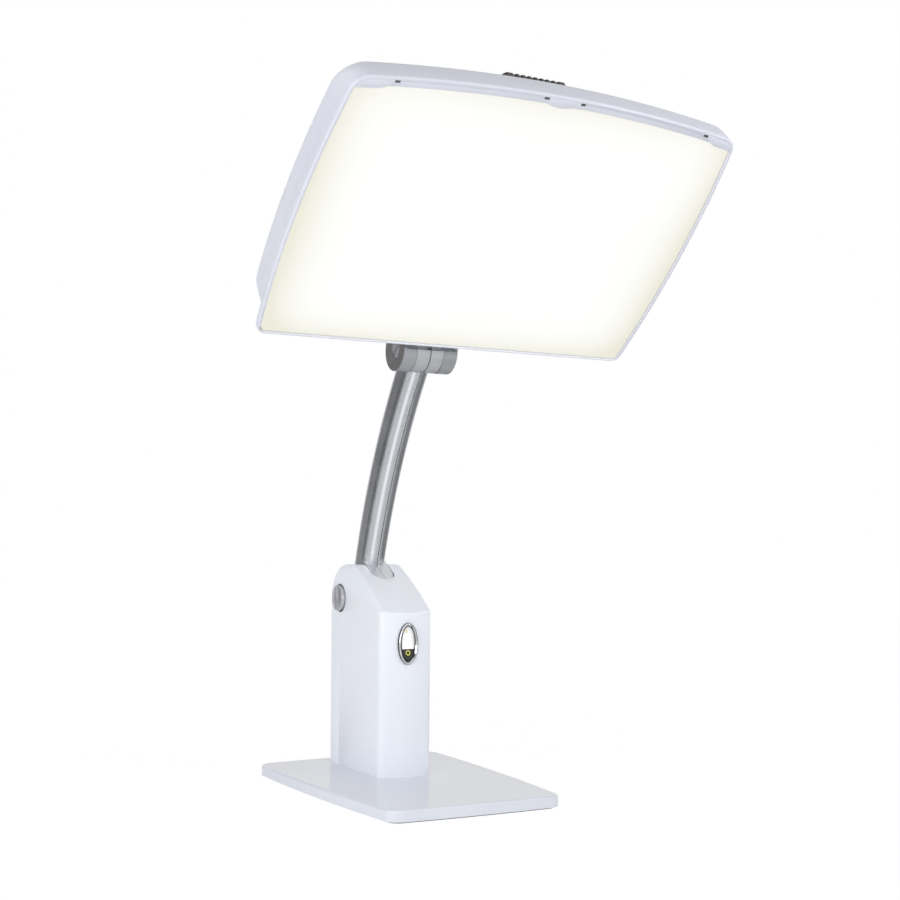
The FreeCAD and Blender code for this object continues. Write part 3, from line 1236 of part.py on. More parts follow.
def build_bezel():
    rim = panel_slab("bezel_rim", bezel_grow, as_size(0), ledge_back, rim_bottom)
    housing = panel_slab("bezel_housing", bezel_grow - housing_step, ledge_back - 1, bezel_depth,
                         housing_bottom)
    mouth = panel_slab("bezel_mouth", screen_gap, as_size(-5), screen_back)
    window = panel_slab("bezel_window", -ledge_width, as_size(-6), ledge_back + 1, tray_bottom + 1)
    room = panel_slab("bezel_room", bezel_grow - bezel_wall, ledge_back, bezel_depth - bezel_wall,
                      housing_bottom + bezel_wall)
    back = panel_slab("bezel_back", -ledge_width - 1.5, ledge_back + 1, bezel_depth + 5,
                      shell_bottom + shell_wall)
    outer = fuse("bezel_outer", [rim, housing])
    ring = cut("bezel_ring", outer, [mouth, window, room, back])
    tab_top = screen_middle_height + screen_gap + 1
    half = tab_width / 2
    tabs = [panel_box("tab_middle", (-half, screen_middle_height - tab_overlap, 0.2),
                      (half, tab_top, tab_thickness))]
    for side, word in ((LEFT, "left"), (RIGHT, "right")):
        inner = side_reach(screen_side_height, as_size(0)) - screen_top_corner - half * 0.9
        outer_x = side_reach(screen_side_height, as_size(0)) - 2
        across = [inner, outer_x] if side == RIGHT else [-outer_x, -inner]
        tabs.append(panel_box("tab_" + word, (across[0], screen_side_height - tab_overlap * 0.7, 0.2),
                              (across[1], screen_side_height + screen_gap + 2.2, tab_thickness)))
    limit = panel_slab("tab_limit", screen_gap + 1, as_size(0), as_size(10))
    trimmed = document.addObject("Part::Common", "tabs_trimmed")
    trimmed.Base = fuse("tabs", tabs)
    trimmed.Tool = limit
    node("front_bezel", fuse("bezel_done", [ring, trimmed]), PANEL_FRAME)
    node("diffuser", panel_slab("diffuser_sheet", as_size(0), screen_recess, screen_back), PANEL_FRAME)


def build_clips():
    """Small clips in the gap round the screen."""
    clips = []
    across = screen_gap / 2 - 0.25
    half = clip_length / 2
    front = screen_recess + 0.2
    back = screen_back - 0.3
    for index in range(6):
        height = screen_side_height * (0.09 + 0.155 * index)
        reach = side_reach(height, screen_gap / 2)
        for side, word in ((LEFT, "left"), (RIGHT, "right")):
            x = side * reach
            clips.append(panel_box("clip_%s_%d" % (word, index), (x - across, height - half, front),
                                   (x + across, height + half, back)))
    for index in range(8):
        x = screen_top_width * (0.125 * (index - 3.5))
        y = top_reach(x, screen_gap / 2)
        clips.append(panel_box("clip_top_%d" % index, (x - half, y - across, front),
                               (x + half, y + across, back)))
        x = screen_bottom_width * (0.12 * (index - 3.5))
        y = -screen_gap / 2
        clips.append(panel_box("clip_bottom_%d" % index, (x - half, y - across, front),
                               (x + half, y + across, back)))
    node("screen_clips", group("clip_group", clips), PANEL_FRAME)


def strip_heights():
    return [strip_low + index * strip_pitch for index in range(strip_count)]


def panel_screw_places():
    heights = strip_heights()
    middles = [(heights[index] + heights[index + 1]) / 2 for index in (0, 2, 4)]
    return [(side * panel_screw_reach, height) for side in (LEFT, RIGHT) for height in middles]


def build_lights():
    flange = panel_slab("tray_flange", -ledge_width + 2, ledge_back, ledge_back + tray_sheet,
                        housing_bottom + bezel_wall + 0.5)
    walls = panel_slab("tray_walls", -tray_inset, ledge_back, tray_depth, tray_bottom)
    room = panel_slab("tray_room", -tray_inset - tray_sheet, ledge_back - 1, tray_depth - tray_sheet,
                      tray_bottom + tray_sheet)
    windows = []
    strips = []
    leds = []
    half = strip_length / 2
    led_pitch = (strip_length - 2 * led_margin) / (led_count - 1)
    for row, height in enumerate(strip_heights()):
        windows.append(panel_box("tray_window_%d" % row, (-half + 2, height - led_height, tray_depth - 5),
                                 (half - 2, height + led_height, tray_depth + 5)))
        strips.append(panel_box("strip_%d" % row, (-half, height - strip_height / 2, tray_depth),
                                (half, height + strip_height / 2, spreader_front)))
        for column in range(led_count):
            x = led_pitch * (column - (led_count - 1) / 2)
            leds.append(panel_box("led_%d_%d" % (row, column),
                                  (x - led_width / 2, height - led_height / 2, tray_depth - led_thickness),
                                  (x + led_width / 2, height + led_height / 2, tray_depth)))
    node("reflector_tray", cut("tray_done", fuse("tray_body", [flange, walls]), [room] + windows),
         PANEL_FRAME)
    node("light_strips", group("strip_group", strips), PANEL_FRAME)
    node("light_emitters", group("led_group", leds), PANEL_FRAME)
    sheet_blank = panel_slab("spreader_blank", -spreader_inset, spreader_front, spreader_back,
                             tray_bottom + 1)
    holes = []
    screws = []
    for index, (x, y) in enumerate(panel_screw_places()):
        holes.append(panel_rod("spreader_hole_%d" % index, x, y, spreader_front - 1, spreader_back + 1,
                               panel_screw_diameter / 2 + screw_fit))
        screws.append(panel_screw("panel_screw_%d" % index, x, y, spreader_front, panel_screw_diameter,
                                  panel_post_bore, panel_screw_diameter * 2, as_size(1.4)))
    node("heat_spreader", cut("spreader_done", sheet_blank, holes), PANEL_FRAME)
    node("panel_screws", group("panel_screw_group", screws), PANEL_FRAME)


def shell_form(name, inset):
    """The rear shell's tapering form, or the same form shrunk by a wall."""
    body = document.addObject("PartDesign::Body", name)
    grow = bezel_grow - shell_step - inset
    start = bezel_depth if inset.value == 0 else bezel_depth - 1
    back = shell_depth - inset
    low = shell_bottom + inset
    fall = (shell_side_depth - shell_top_depth) / (shell_depth - shell_top_depth)
    levels = [(start, grow, low, as_size(0)),
              (shell_top_depth, grow, low, as_size(0)),
              (shell_side_depth, grow, low + shell_bottom_taper / 2, shell_top_taper * fall),
              (back, grow - shell_side_taper, low + shell_bottom_taper, shell_top_taper - shell_side_taper)]
    sketches = []
    for index, (depth, margin, bottom, drop) in enumerate(levels):
        sketch = plane_sketch(body, "XY_Plane", -as_size(depth))
        corners, through = panel_outline(margin, bottom, drop, index * shell_corner_growth)
        draw_outline(sketch, corners, through)
        sketches.append(sketch)
    loft = body.newObject("PartDesign::AdditiveLoft", name + "_loft")
    loft.Profile = sketches[0]
    loft.Sections = sketches[1:]
    loft.Ruled = True
    return body


def spine_form(name, inset):
    """The raised spine on the shell's back, rounded off at its lower end."""
    low = shell_bottom + shell_bottom_taper / 2 + inset
    back = spine_depth - inset
    half = spine_width / 2 - inset
    start = shell_side_depth + spine_root
    corners = [(low, -start), (spine_top - inset, -start), (spine_top - inset, -back),
               (low + spine_end_cut, -back), (low, -back + spine_end_cut)]
    body = prism(name, "YZ_Plane", -half, half, corners)
    back_depth = -back.value

    def long_back_edge(edge):
        box_of = edge.BoundBox
        return box_of.XLength < 0.01 and box_of.ZMin < back_depth + 0.01 and box_of.ZLength < 0.01

    return round_edges(body, spine_edge_round - inset, long_back_edge)


def neck_screw_places():
    return [(side * neck_screw_pitch / 2, y)
            for side in (LEFT, RIGHT) for y in (plate_bottom + 8, neck_top - 8)]


def plate_screw_places():
    return [(side * (plate_width / 2 - 6), y)
            for side in (LEFT, RIGHT) for y in (neck_top + 12, plate_top - 8)]


vent_low = spine_top
vent_high = spine_top + vent_height
plate_back = neck_back + plate_thickness


def build_rear_shell():
    outer = shell_form("shell_outer", as_size(0))
    hollow = shell_form("shell_hollow", shell_wall)
    spine = spine_form("spine_outer", as_size(0))
    spine_hollow = spine_form("spine_hollow", shell_wall)
    posts = []
    bores = []
    for index, (x, y) in enumerate(panel_screw_places()):
        posts.append(panel_rod("shell_post_%d" % index, x, y, spreader_back, shell_depth - 1,
                               boss_diameter / 2))
        bores.append(panel_rod("shell_post_bore_%d" % index, x, y, spreader_back - 1,
                               spreader_back + panel_post_bore, panel_screw_diameter / 2))
    spine_floor = spine_depth - shell_wall
    for index, (x, y) in enumerate(plate_screw_places()):
        posts.append(panel_rod("plate_post_%d" % index, x, y, plate_back, spine_floor + 0.5,
                               boss_diameter / 2))
        bores.append(panel_rod("plate_post_bore_%d" % index, x, y, plate_back - 1, plate_back + 4,
                               panel_screw_diameter / 2))
    gap = neck_clear
    half = neck_width / 2 + gap
    doorway = panel_box("neck_doorway", (-half, shell_bottom - 10, neck_front - gap),
                        (half, shell_bottom + shell_bottom_taper + 12, neck_back + gap))
    vent_half = vent_width / 2 - vent_rebate
    vent_hole = panel_box("vent_hole", (-vent_half, vent_low + vent_rebate - 1, shell_depth - 10),
                          (vent_half, vent_high - vent_rebate - 2, shell_depth + 5))
    walls = cut("shell_walls", fuse("shell_solid", [outer, spine]), [hollow, spine_hollow])
    body = fuse("shell_body", [walls] + posts)
    node("rear_shell", cut("shell_done", body, bores + [doorway, vent_hole]), PANEL_FRAME)


def build_vent():
    """A slotted cowl at the spine's upper end."""
    half = vent_width / 2
    back = spine_depth + vent_proud
    corners = [(vent_low, -shell_depth), (vent_high, -shell_depth), (vent_high, -back + vent_chamfer),
               (vent_high - vent_chamfer, -back), (vent_low, -back)]
    cowl = prism("vent_cowl", "YZ_Plane", -half, half, corners)
    room = panel_box("vent_room", (-half + vent_bar, vent_low + vent_bar, shell_depth - 1),
                     (half - vent_bar, vent_high - vent_bar, back - vent_skin))
    pitch = vent_bar + vent_gap
    slots = []
    for index in range(vent_slot_count):
        x = pitch * (index - (vent_slot_count - 1) / 2)
        slots.append(panel_box("vent_slot_%d" % index,
                               (x - vent_gap / 2, vent_low + vent_bar, shell_depth + vent_bar),
                               (x + vent_gap / 2, vent_high + 5, back + 5)))
    node("vent_grille", cut("vent_done", cowl, [room] + slots), PANEL_FRAME)


def build_neck():
    """The hinge ears, and the neck that joins them to the panel's mounting plate."""
    ear_start = knuckle_length / 2 + hinge_gap
    ear_end = barrel_length / 2
    radius = barrel_diameter / 2
    half = neck_width / 2
    corners = [(ear_start, -hinge_drop), (half, -hinge_drop), (half, neck_top), (-half, neck_top),
               (-half, -hinge_drop), (-ear_start, -hinge_drop), (-ear_start, neck_start - hinge_drop),
               (ear_start, neck_start - hinge_drop)]
    fork = prism("neck_fork", "XY_Plane", -neck_back, -neck_front, corners)
    parts = [fork]
    cap_seat = ear_end - hinge_cap_thickness - 0.1
    head_seat = cap_seat - hinge_head_thickness - 0.2
    tools = []
    for side, word in ((LEFT, "left"), (RIGHT, "right")):
        parts.append(side_rod("ear_inner_" + word, side, ear_start, ear_start + seam_groove + 0.5,
                              -hinge_drop, -hinge_depth, radius - seam_groove))
        parts.append(side_rod("ear_" + word, side, ear_start + seam_groove, ear_end, -hinge_drop,
                              -hinge_depth, radius))
        tools.append(side_rod("ear_recess_" + word, side, cap_seat, ear_end + 5, -hinge_drop,
                              -hinge_depth, hinge_cap_diameter / 2 + screw_fit))
        tools.append(side_rod("ear_sink_" + word, side, head_seat, ear_end, -hinge_drop, -hinge_depth,
                              hinge_head_diameter / 2 + 2 * screw_fit))
        tools.append(side_rod("ear_washer_recess_" + word, side, ear_start - 1,
                              ear_start + hinge_washer_thickness + 0.1, -hinge_drop, -hinge_depth,
                              hinge_washer_diameter / 2 + screw_fit))
    tools.append(rod("ear_bore", "X", (-ear_end, -hinge_drop, -hinge_depth),
                     hinge_pin_diameter / 2 + shaft_fit, ear_end * 2))
    tools.append(relief_tool("ear_relief", (as_size(0), -hinge_drop, -hinge_depth, as_size(0))))
    for index, (x, y) in enumerate(neck_screw_places()):
        tools.append(panel_rod("neck_hole_%d" % index, x, y, neck_front - 1, neck_back + 1,
                               neck_screw_diameter / 2 + screw_fit))
    node("neck_bracket", cut("neck_done", fuse("neck_body", parts), tools), PANEL_FRAME)
    build_hinge(cap_seat, head_seat, ear_start, ear_end)


def build_hinge(cap_seat, head_seat, ear_start, ear_end):
    place_of = (-hinge_drop, -hinge_depth)
    washers = []
    for side, word in ((LEFT, "left"), (RIGHT, "right")):
        disc = side_rod("hinge_washer_disc_" + word, side, ear_start + 0.05,
                        ear_start + 0.05 + hinge_washer_thickness, place_of[0], place_of[1],
                        hinge_washer_diameter / 2)
        bore = side_rod("hinge_washer_bore_" + word, side, 0, ear_end, place_of[0], place_of[1],
                        hinge_pin_diameter / 2 + shaft_fit)
        washers.append(cut("hinge_washer_" + word, disc, [bore]))
        cap = side_rod("hinge_cap_disc_" + word, side, cap_seat, cap_seat + hinge_cap_thickness,
                       place_of[0], place_of[1], hinge_cap_diameter / 2)
        window = side_rod("hinge_cap_window_" + word, side, 0, ear_end + 5, place_of[0], place_of[1],
                          hinge_head_diameter / 2 + 1)
        node("hinge_cap_" + word, cut("hinge_cap_ring_" + word, cap, [window]), PANEL_FRAME)
    head_end = head_seat + hinge_head_thickness
    shank = rod("hinge_shank", "X", (-head_seat - 1, place_of[0], place_of[1]), hinge_pin_diameter / 2,
                head_seat * 2)
    for side, word, label in ((LEFT, "left", "hinge_pin"), (RIGHT, "right", "hinge_nut")):
        head = side_rod("hinge_head_" + word, side, head_seat, head_end, place_of[0], place_of[1],
                        hinge_head_diameter / 2)
        low = head_end - slot_depth
        ends = [low, head_end + 5] if side == RIGHT else [-head_end - 5, -low]
        groove = box("hinge_groove_" + word,
                     (ends[0], place_of[0] - barrel_diameter, place_of[1] - slot_width / 2),
                     (ends[1], place_of[0] + barrel_diameter, place_of[1] + slot_width / 2))
        if side == LEFT:
            node(label, cut("hinge_pin_done", fuse("hinge_pin_blank", [shank, head]), [groove]), PANEL_FRAME)
        else:
            bore = side_rod("hinge_nut_bore", side, 0, ear_end, place_of[0], place_of[1],
                            hinge_pin_diameter / 2 + shaft_fit)
            node(label, cut("hinge_nut_done", head, [groove, bore]), PANEL_FRAME)
    node("hinge_washers", group("hinge_washer_group", washers), PANEL_FRAME)


def build_mount_plate():
    half = plate_width / 2
    blank = panel_box("mount_blank", (-half, plate_bottom, neck_back), (half, plate_top, plate_back))
    holes = []
    neck_screws = []
    plate_screws = []
    for index, (x, y) in enumerate(neck_screw_places()):
        holes.append(panel_rod("mount_neck_hole_%d" % index, x, y, neck_back - 1, plate_back + 1,
                               neck_screw_diameter / 2))
        neck_screws.append(panel_screw("neck_screw_%d" % index, x, y, neck_front, neck_screw_diameter,
                                       neck_thickness + plate_thickness, neck_screw_diameter * 1.8,
                                       as_size(3)))
    for index, (x, y) in enumerate(plate_screw_places()):
        holes.append(panel_rod("mount_plate_hole_%d" % index, x, y, neck_back - 1, plate_back + 1,
                               panel_screw_diameter / 2 + screw_fit))
        plate_screws.append(panel_screw("plate_screw_%d" % index, x, y, neck_back, panel_screw_diameter,
                                        plate_thickness + 4, panel_screw_diameter * 2, as_size(2)))
    node("mounting_plate", cut("mount_done", blank, holes), PANEL_FRAME)
    node("neck_screws", group("neck_screw_group", neck_screws), PANEL_FRAME)
    node("plate_screws", group("plate_screw_group", plate_screws), PANEL_FRAME)


def build_panel_cable():
    block_low = neck_top + terminal_rise
    half = terminal_width / 2
    block = panel_box("terminal_block_box", (-half, block_low, spreader_back),
                      (half, block_low + terminal_height, spreader_back + terminal_depth))
    node("panel_terminal", group("panel_terminal_group", [block]), PANEL_FRAME)
    radius = cable_diameter / 2
    entry = block_low + terminal_height / 2
    lead = cable("panel_cable", [(0, neck_top, -hinge_depth), (0, entry, -hinge_depth),
                                 (0, entry, -(spreader_back + terminal_depth))], radius, as_size(7))
    node("panel_cable", lead, PANEL_FRAME)


build_base()
build_column()
build_pivot_bracket()
build_pivot()
build_switch()
build_rocker()
build_inlet()
build_driver()
build_stand_cables()
build_arm()
build_bezel()
build_clips()
build_lights()
build_rear_shell()
build_vent()
build_neck()
build_mount_plate()
build_panel_cable()
document.recompute()

# ---------------------------------------------------------------- checks and files
for item in document.Objects:
    if "Invalid" in item.State or "Error" in item.State:
        raise RuntimeError("%s failed: %s" % (item.Label, item.State))
for item in nodes:
    if item.Shape.isNull() or not item.Shape.isValid() or not item.Shape.Solids:
        raise RuntimeError("%s has no valid solid" % item.Label)

os.makedirs("parts", exist_ok=True)
for item in nodes:
    item.Shape.exportStep("parts/" + item.Label + ".step")
print("%d nodes, %d solids" % (len(nodes), sum(len(item.Shape.Solids) for item in nodes)))
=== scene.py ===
"""Light therapy lamp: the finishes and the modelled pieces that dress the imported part.

Everything is in metres, in the part's own frame: +Z up, the light panel faces -Y, +X is on the
right as seen from the front, and the origin is on the table under the middle of the base plate.
"""

from __future__ import annotations

import json
import logging
import math
from contextlib import contextmanager
from dataclasses import dataclass, field
from enum import Enum
from typing import Callable, Iterator, Sequence

import bmesh
import bpy
from mathutils import Matrix, Vector

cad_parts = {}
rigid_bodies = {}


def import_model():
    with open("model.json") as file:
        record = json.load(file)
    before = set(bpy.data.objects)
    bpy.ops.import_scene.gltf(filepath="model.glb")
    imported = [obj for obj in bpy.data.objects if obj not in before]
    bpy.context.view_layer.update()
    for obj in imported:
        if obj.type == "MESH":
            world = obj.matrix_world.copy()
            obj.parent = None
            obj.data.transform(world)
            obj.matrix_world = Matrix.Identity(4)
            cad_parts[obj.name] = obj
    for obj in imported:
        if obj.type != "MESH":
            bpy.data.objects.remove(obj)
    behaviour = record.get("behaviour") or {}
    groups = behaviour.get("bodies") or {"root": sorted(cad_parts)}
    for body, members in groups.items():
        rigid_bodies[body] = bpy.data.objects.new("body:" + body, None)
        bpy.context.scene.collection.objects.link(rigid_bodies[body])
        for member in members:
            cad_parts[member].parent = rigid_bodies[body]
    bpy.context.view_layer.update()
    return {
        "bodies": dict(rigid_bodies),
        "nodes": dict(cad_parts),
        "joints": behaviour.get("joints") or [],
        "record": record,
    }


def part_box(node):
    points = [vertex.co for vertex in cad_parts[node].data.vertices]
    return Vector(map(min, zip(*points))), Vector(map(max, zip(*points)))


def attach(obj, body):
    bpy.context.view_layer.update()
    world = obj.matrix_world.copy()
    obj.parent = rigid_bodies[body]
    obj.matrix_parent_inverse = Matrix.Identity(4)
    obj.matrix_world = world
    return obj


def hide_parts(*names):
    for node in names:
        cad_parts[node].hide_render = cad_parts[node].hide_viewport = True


log = logging.getLogger("light_therapy_lamp")

MM = 0.001
MICRON = 0.000001
QUARTER = math.pi / 2

Piece = bpy.types.Object
Socket = bpy.types.NodeSocket
Triple = tuple[float, float, float]
Steps = tuple[int, int, int]


class Side(Enum):
    """The two sides of the lamp, as signs of X."""

    LEFT = -1
    RIGHT = 1


class Body(Enum):
    """The moving bodies that carry new pieces."""

    STAND = "stand"
    ARM = "arm"
    PANEL = "light_panel"


class Work(Enum):
    """How one solid works on another."""

    UNITE = "UNION"
    KEEP = "INTERSECT"
    CUT = "DIFFERENCE"


# ---------- finishes
def linear(steps: Steps) -> tuple[float, ...]:
    """Turns a colour in display steps into the linear values that shaders take.

    Args:
        steps: Red, green and blue, 0 to 255.

    Returns:
        Linear red, green and blue, 0 to 1, and full alpha.
    """
    knee, slope, offset, power, full = 0.04045, 12.92, 0.055, 2.4, 255
    values = []
    for share in (step / full for step in steps):
        values.append(share / slope if share <= knee else ((share + offset) / (1 + offset)) ** power)
    return (*values, 1.0)


class FinishTree:
    """The node tree of one material, with short names for the nodes that the finishes use."""

    def __init__(self, name: str) -> None:
        """Starts a material with one Principled shader.

        Args:
            name: The material's name.
        """
        self.material = bpy.data.materials.new(name)
        self.material.use_nodes = True
        self.nodes = self.material.node_tree.nodes
        self.links = self.material.node_tree.links
        self.shader = self.nodes["Principled BSDF"]
        self.place = self.nodes.new("ShaderNodeTexCoord").outputs["Object"]

    def feed(self, socket: Socket, value: Socket | Sequence[float] | float) -> None:
        """Links an output to an input, or sets the input to a value.

        Args:
            socket: The input.
            value: The output or the value.
        """
        if isinstance(value, Socket):
            self.links.new(value, socket)
        else:
            socket.default_value = value

    def add(self, kind: str, inputs: dict[str, Socket | Sequence[float] | float]) -> bpy.types.Node:
        """Adds a node.

        Args:
            kind: The node's type, without the prefix that all of them have.
            inputs: Outputs or values for its inputs.

        Returns:
            The node.
        """
        node = self.nodes.new("ShaderNode" + kind)
        for key, value in inputs.items():
            self.feed(node.inputs[key], value)
        return node

    def fix(self, **values: float | Steps) -> None:
        """Sets sockets of the shader: `Base_Color=...` sets Base Color, in display steps.

        Args:
            values: What the sockets are set to.
        """
        for key, value in values.items():
            value = linear(value) if isinstance(value, tuple) else value
            self.feed(self.shader.inputs[key.replace("_", " ")], value)

    def drive(self, socket: str, output: Socket) -> None:
        """Links an output to one of the shader's sockets."""
        self.links.new(output, self.shader.inputs[socket])

    def mapped(
        self, scale: Triple = (1, 1, 1), turn: Triple = (0, 0, 0), shift: Triple = (0, 0, 0)
    ) -> Socket:
        """Object coordinates, shifted, turned and scaled.

        Args:
            scale: The scale along each axis.
            turn: The turn about each axis, in radians.
            shift: The shift, in metres.

        Returns:
            The mapped coordinates.
        """
        inputs = {"Vector": self.place, "Location": shift, "Rotation": turn, "Scale": scale}
        return self.add("Mapping", inputs).outputs["Vector"]

    def noise(self, scale: float, detail: float = 3.0, where: Socket | None = None) -> Socket:
        """A noise pattern.

        Args:
            scale: Cells per metre.
            detail: Octaves.
            where: The coordinates, or none for plain Object coordinates.

        Returns:
            The noise, about 0.5.
        """
        inputs = {"Vector": where or self.place, "Scale": scale, "Detail": detail}
        return self.add("TexNoise", inputs).outputs["Fac"]

    def between(
        self, value: Socket, low: float, high: float, start: float = 0.3, stop: float = 0.7
    ) -> Socket:
        """Maps a value from start..stop on to low..high, and holds it there.

        Args:
            value: The value to map.
            low: The result at start.
            high: The result at stop.
            start: The value that gives low.
            stop: The value that gives high.

        Returns:
            The mapped value.
        """
        inputs = {"Value": value, "From Min": start, "From Max": stop, "To Min": low, "To Max": high}
        return self.add("MapRange", inputs).outputs["Result"]

    def blend(self, share: Socket, first: Socket | Steps, second: Socket | Steps) -> Socket:
        """Mixes two colours by a share.

        Args:
            share: 0 gives the first colour, 1 the second.
            first: The first colour.
            second: The second colour.

        Returns:
            The mixed colour.
        """
        node = self.nodes.new("ShaderNodeMix")
        node.data_type = "RGBA"
        self.links.new(share, node.inputs["Factor"])
        sockets = [socket for socket in node.inputs if socket.type == "RGBA"]
        for socket, colour in zip(sockets, (first, second)):
            self.feed(socket, linear(colour) if isinstance(colour, tuple) else colour)
        return [socket for socket in node.outputs if socket.type == "RGBA"][0]

    def relief(self, height: Socket, depth: float) -> None:
        """Gives the shader a bump.

        Args:
            height: The pattern, 0 to 1.
            depth: How deep it is, in metres.
        """
        self.drive("Normal", self.add("Bump", {"Distance": depth, "Height": height}).outputs["Normal"])

    def maths(self, work: str, first: Socket, second: Socket | float = 0.0) -> Socket:
        """One arithmetic step.

        Args:
            work: The Math node's operation.
            first: The first value.
            second: The second value.

        Returns:
            The result.
        """
        node = self.nodes.new("ShaderNodeMath")
        node.operation = work
        self.feed(node.inputs[0], first)
        self.feed(node.inputs[1], second)
        return node.outputs[0]

    def parts_of(self, vector: Socket) -> Sequence[Socket]:
        """Splits a vector into its x, y and z."""
        return self.add("SeparateXYZ", {"Vector": vector}).outputs


@dataclass(frozen=True)
class Finish:
    """What all finishes share: a name, two colours in display steps, and a roughness."""

    name: str
    colour: Steps
    second: Steps
    roughness: float = 0.4

    def build(self) -> bpy.types.Material:
        """Makes the material.

        Returns:
            The finished material.
        """
        tree = FinishTree(self.name)
        self.fill(tree)
        return tree.material

    def fill(self, tree: FinishTree) -> None:
        """Gives a new material the nodes of this finish."""
        raise NotImplementedError


@dataclass(frozen=True, kw_only=True)
class MouldedPlastic(Finish):
    """Injection moulded plastic: a fine mould grain, slow clouding and a few faint handling marks."""

    coat: float = 0.0
    coat_roughness: float = 0.04
    refraction: float = 1.49
    cloud_scale: float = 9.0
    mark_scale: float = 35.0
    mark_detail: float = 4.0
    mark_change: float = 0.06
    grain_scale: float = 900.0
    grain_detail: float = 2.0
    grain_depth: float = 2.5 * MICRON

    def fill(self, tree: FinishTree) -> None:
        """Adds the clouding, the marks, the grain and the coat.

        Args:
            tree: The new material.
        """
        clouding = tree.between(tree.noise(self.cloud_scale, self.mark_detail), 0, 1)
        tree.drive("Base Color", tree.blend(clouding, self.colour, self.second))
        low, high = self.roughness * (1 - self.mark_change), self.roughness * (1 + self.mark_change)
        tree.drive("Roughness", tree.between(tree.noise(self.mark_scale, self.mark_detail), low, high))
        tree.relief(tree.noise(self.grain_scale, self.grain_detail), self.grain_depth)
        tree.fix(IOR=self.refraction, Coat_Weight=self.coat, Coat_Roughness=self.coat_roughness)


@dataclass(frozen=True, kw_only=True)
class SatinMetal(Finish):
    """Satin sprayed or bead blasted metal: tiny bright flakes over a soft, even sheen."""

    metallic: float = 1.0
    flake_scale: float = 2600.0
    flake_detail: float = 1.0
    flake_share: float = 0.6
    flake_depth: float = 8 * MICRON
    slow_scale: float = 24.0
    smoothest: float = 0.9
    roughest: float = 1.12

    def fill(self, tree: FinishTree) -> None:
        """Adds the flakes and the slow change of sheen under them.

        Args:
            tree: The new material.
        """
        flakes = tree.noise(self.flake_scale, self.flake_detail)
        slow = tree.noise(self.slow_scale)
        fine = tree.maths("MULTIPLY", flakes, self.flake_share)
        shade = tree.maths("ADD", fine, tree.maths("MULTIPLY", slow, 1 - self.flake_share))
        tree.drive("Base Color", tree.blend(tree.between(shade, 0, 1), self.second, self.colour))
        low, high = self.roughness * self.smoothest, self.roughness * self.roughest
        tree.drive("Roughness", tree.between(slow, low, high))
        tree.relief(flakes, self.flake_depth)
        tree.fix(Metallic=self.metallic)


@dataclass(frozen=True, kw_only=True)
class TurnedMetal(Finish):
    """Machined or plated metal with fine tool lines along one axis."""

    lines_per_metre: Triple = (40.0, 3000.0, 3000.0)
    line_depth: float = 6 * MICRON
    stain_scale: float = 70.0
    stain_detail: float = 5.0
    smoothest: float = 0.75
    roughest: float = 1.3

    def fill(self, tree: FinishTree) -> None:
        """Adds the tool lines and a faint stain.

        Args:
            tree: The new material.
        """
        lines = tree.noise(1.0, where=tree.mapped(self.lines_per_metre))
        stain = tree.between(tree.noise(self.stain_scale, self.stain_detail), 0, 1)
        tree.drive("Base Color", tree.blend(stain, self.colour, self.second))
        low, high = self.roughness * self.smoothest, self.roughness * self.roughest
        tree.drive("Roughness", tree.between(lines, low, high))
        tree.relief(lines, self.line_depth)
        tree.fix(Metallic=1.0)


@dataclass(frozen=True, kw_only=True)
class Rubber(Finish):
    """Matt rubber or cable sheath with a fine pebbled skin."""

    roughness: float = 0.72
    pebble_scale: float = 1400.0
    pebble_detail: float = 2.0
    pebble_depth: float = 40 * MICRON
    dust_scale: float = 45.0
    dust_detail: float = 5.0
    dust_range: tuple[float, float] = (0.45, 0.75)
    smoother: float = 0.08
    rougher: float = 0.1

    def fill(self, tree: FinishTree) -> None:
        """Adds the pebbles and the dust on them.

        Args:
            tree: The new material.
        """
        dust = tree.noise(self.dust_scale, self.dust_detail)
        worn = tree.between(dust, 0, 1, *self.dust_range)
        tree.drive("Base Color", tree.blend(worn, self.colour, self.second))
        low, high = self.roughness - self.smoother, self.roughness + self.rougher
        tree.drive("Roughness", tree.between(dust, low, high))
        tree.relief(tree.noise(self.pebble_scale, self.pebble_detail), self.pebble_depth)


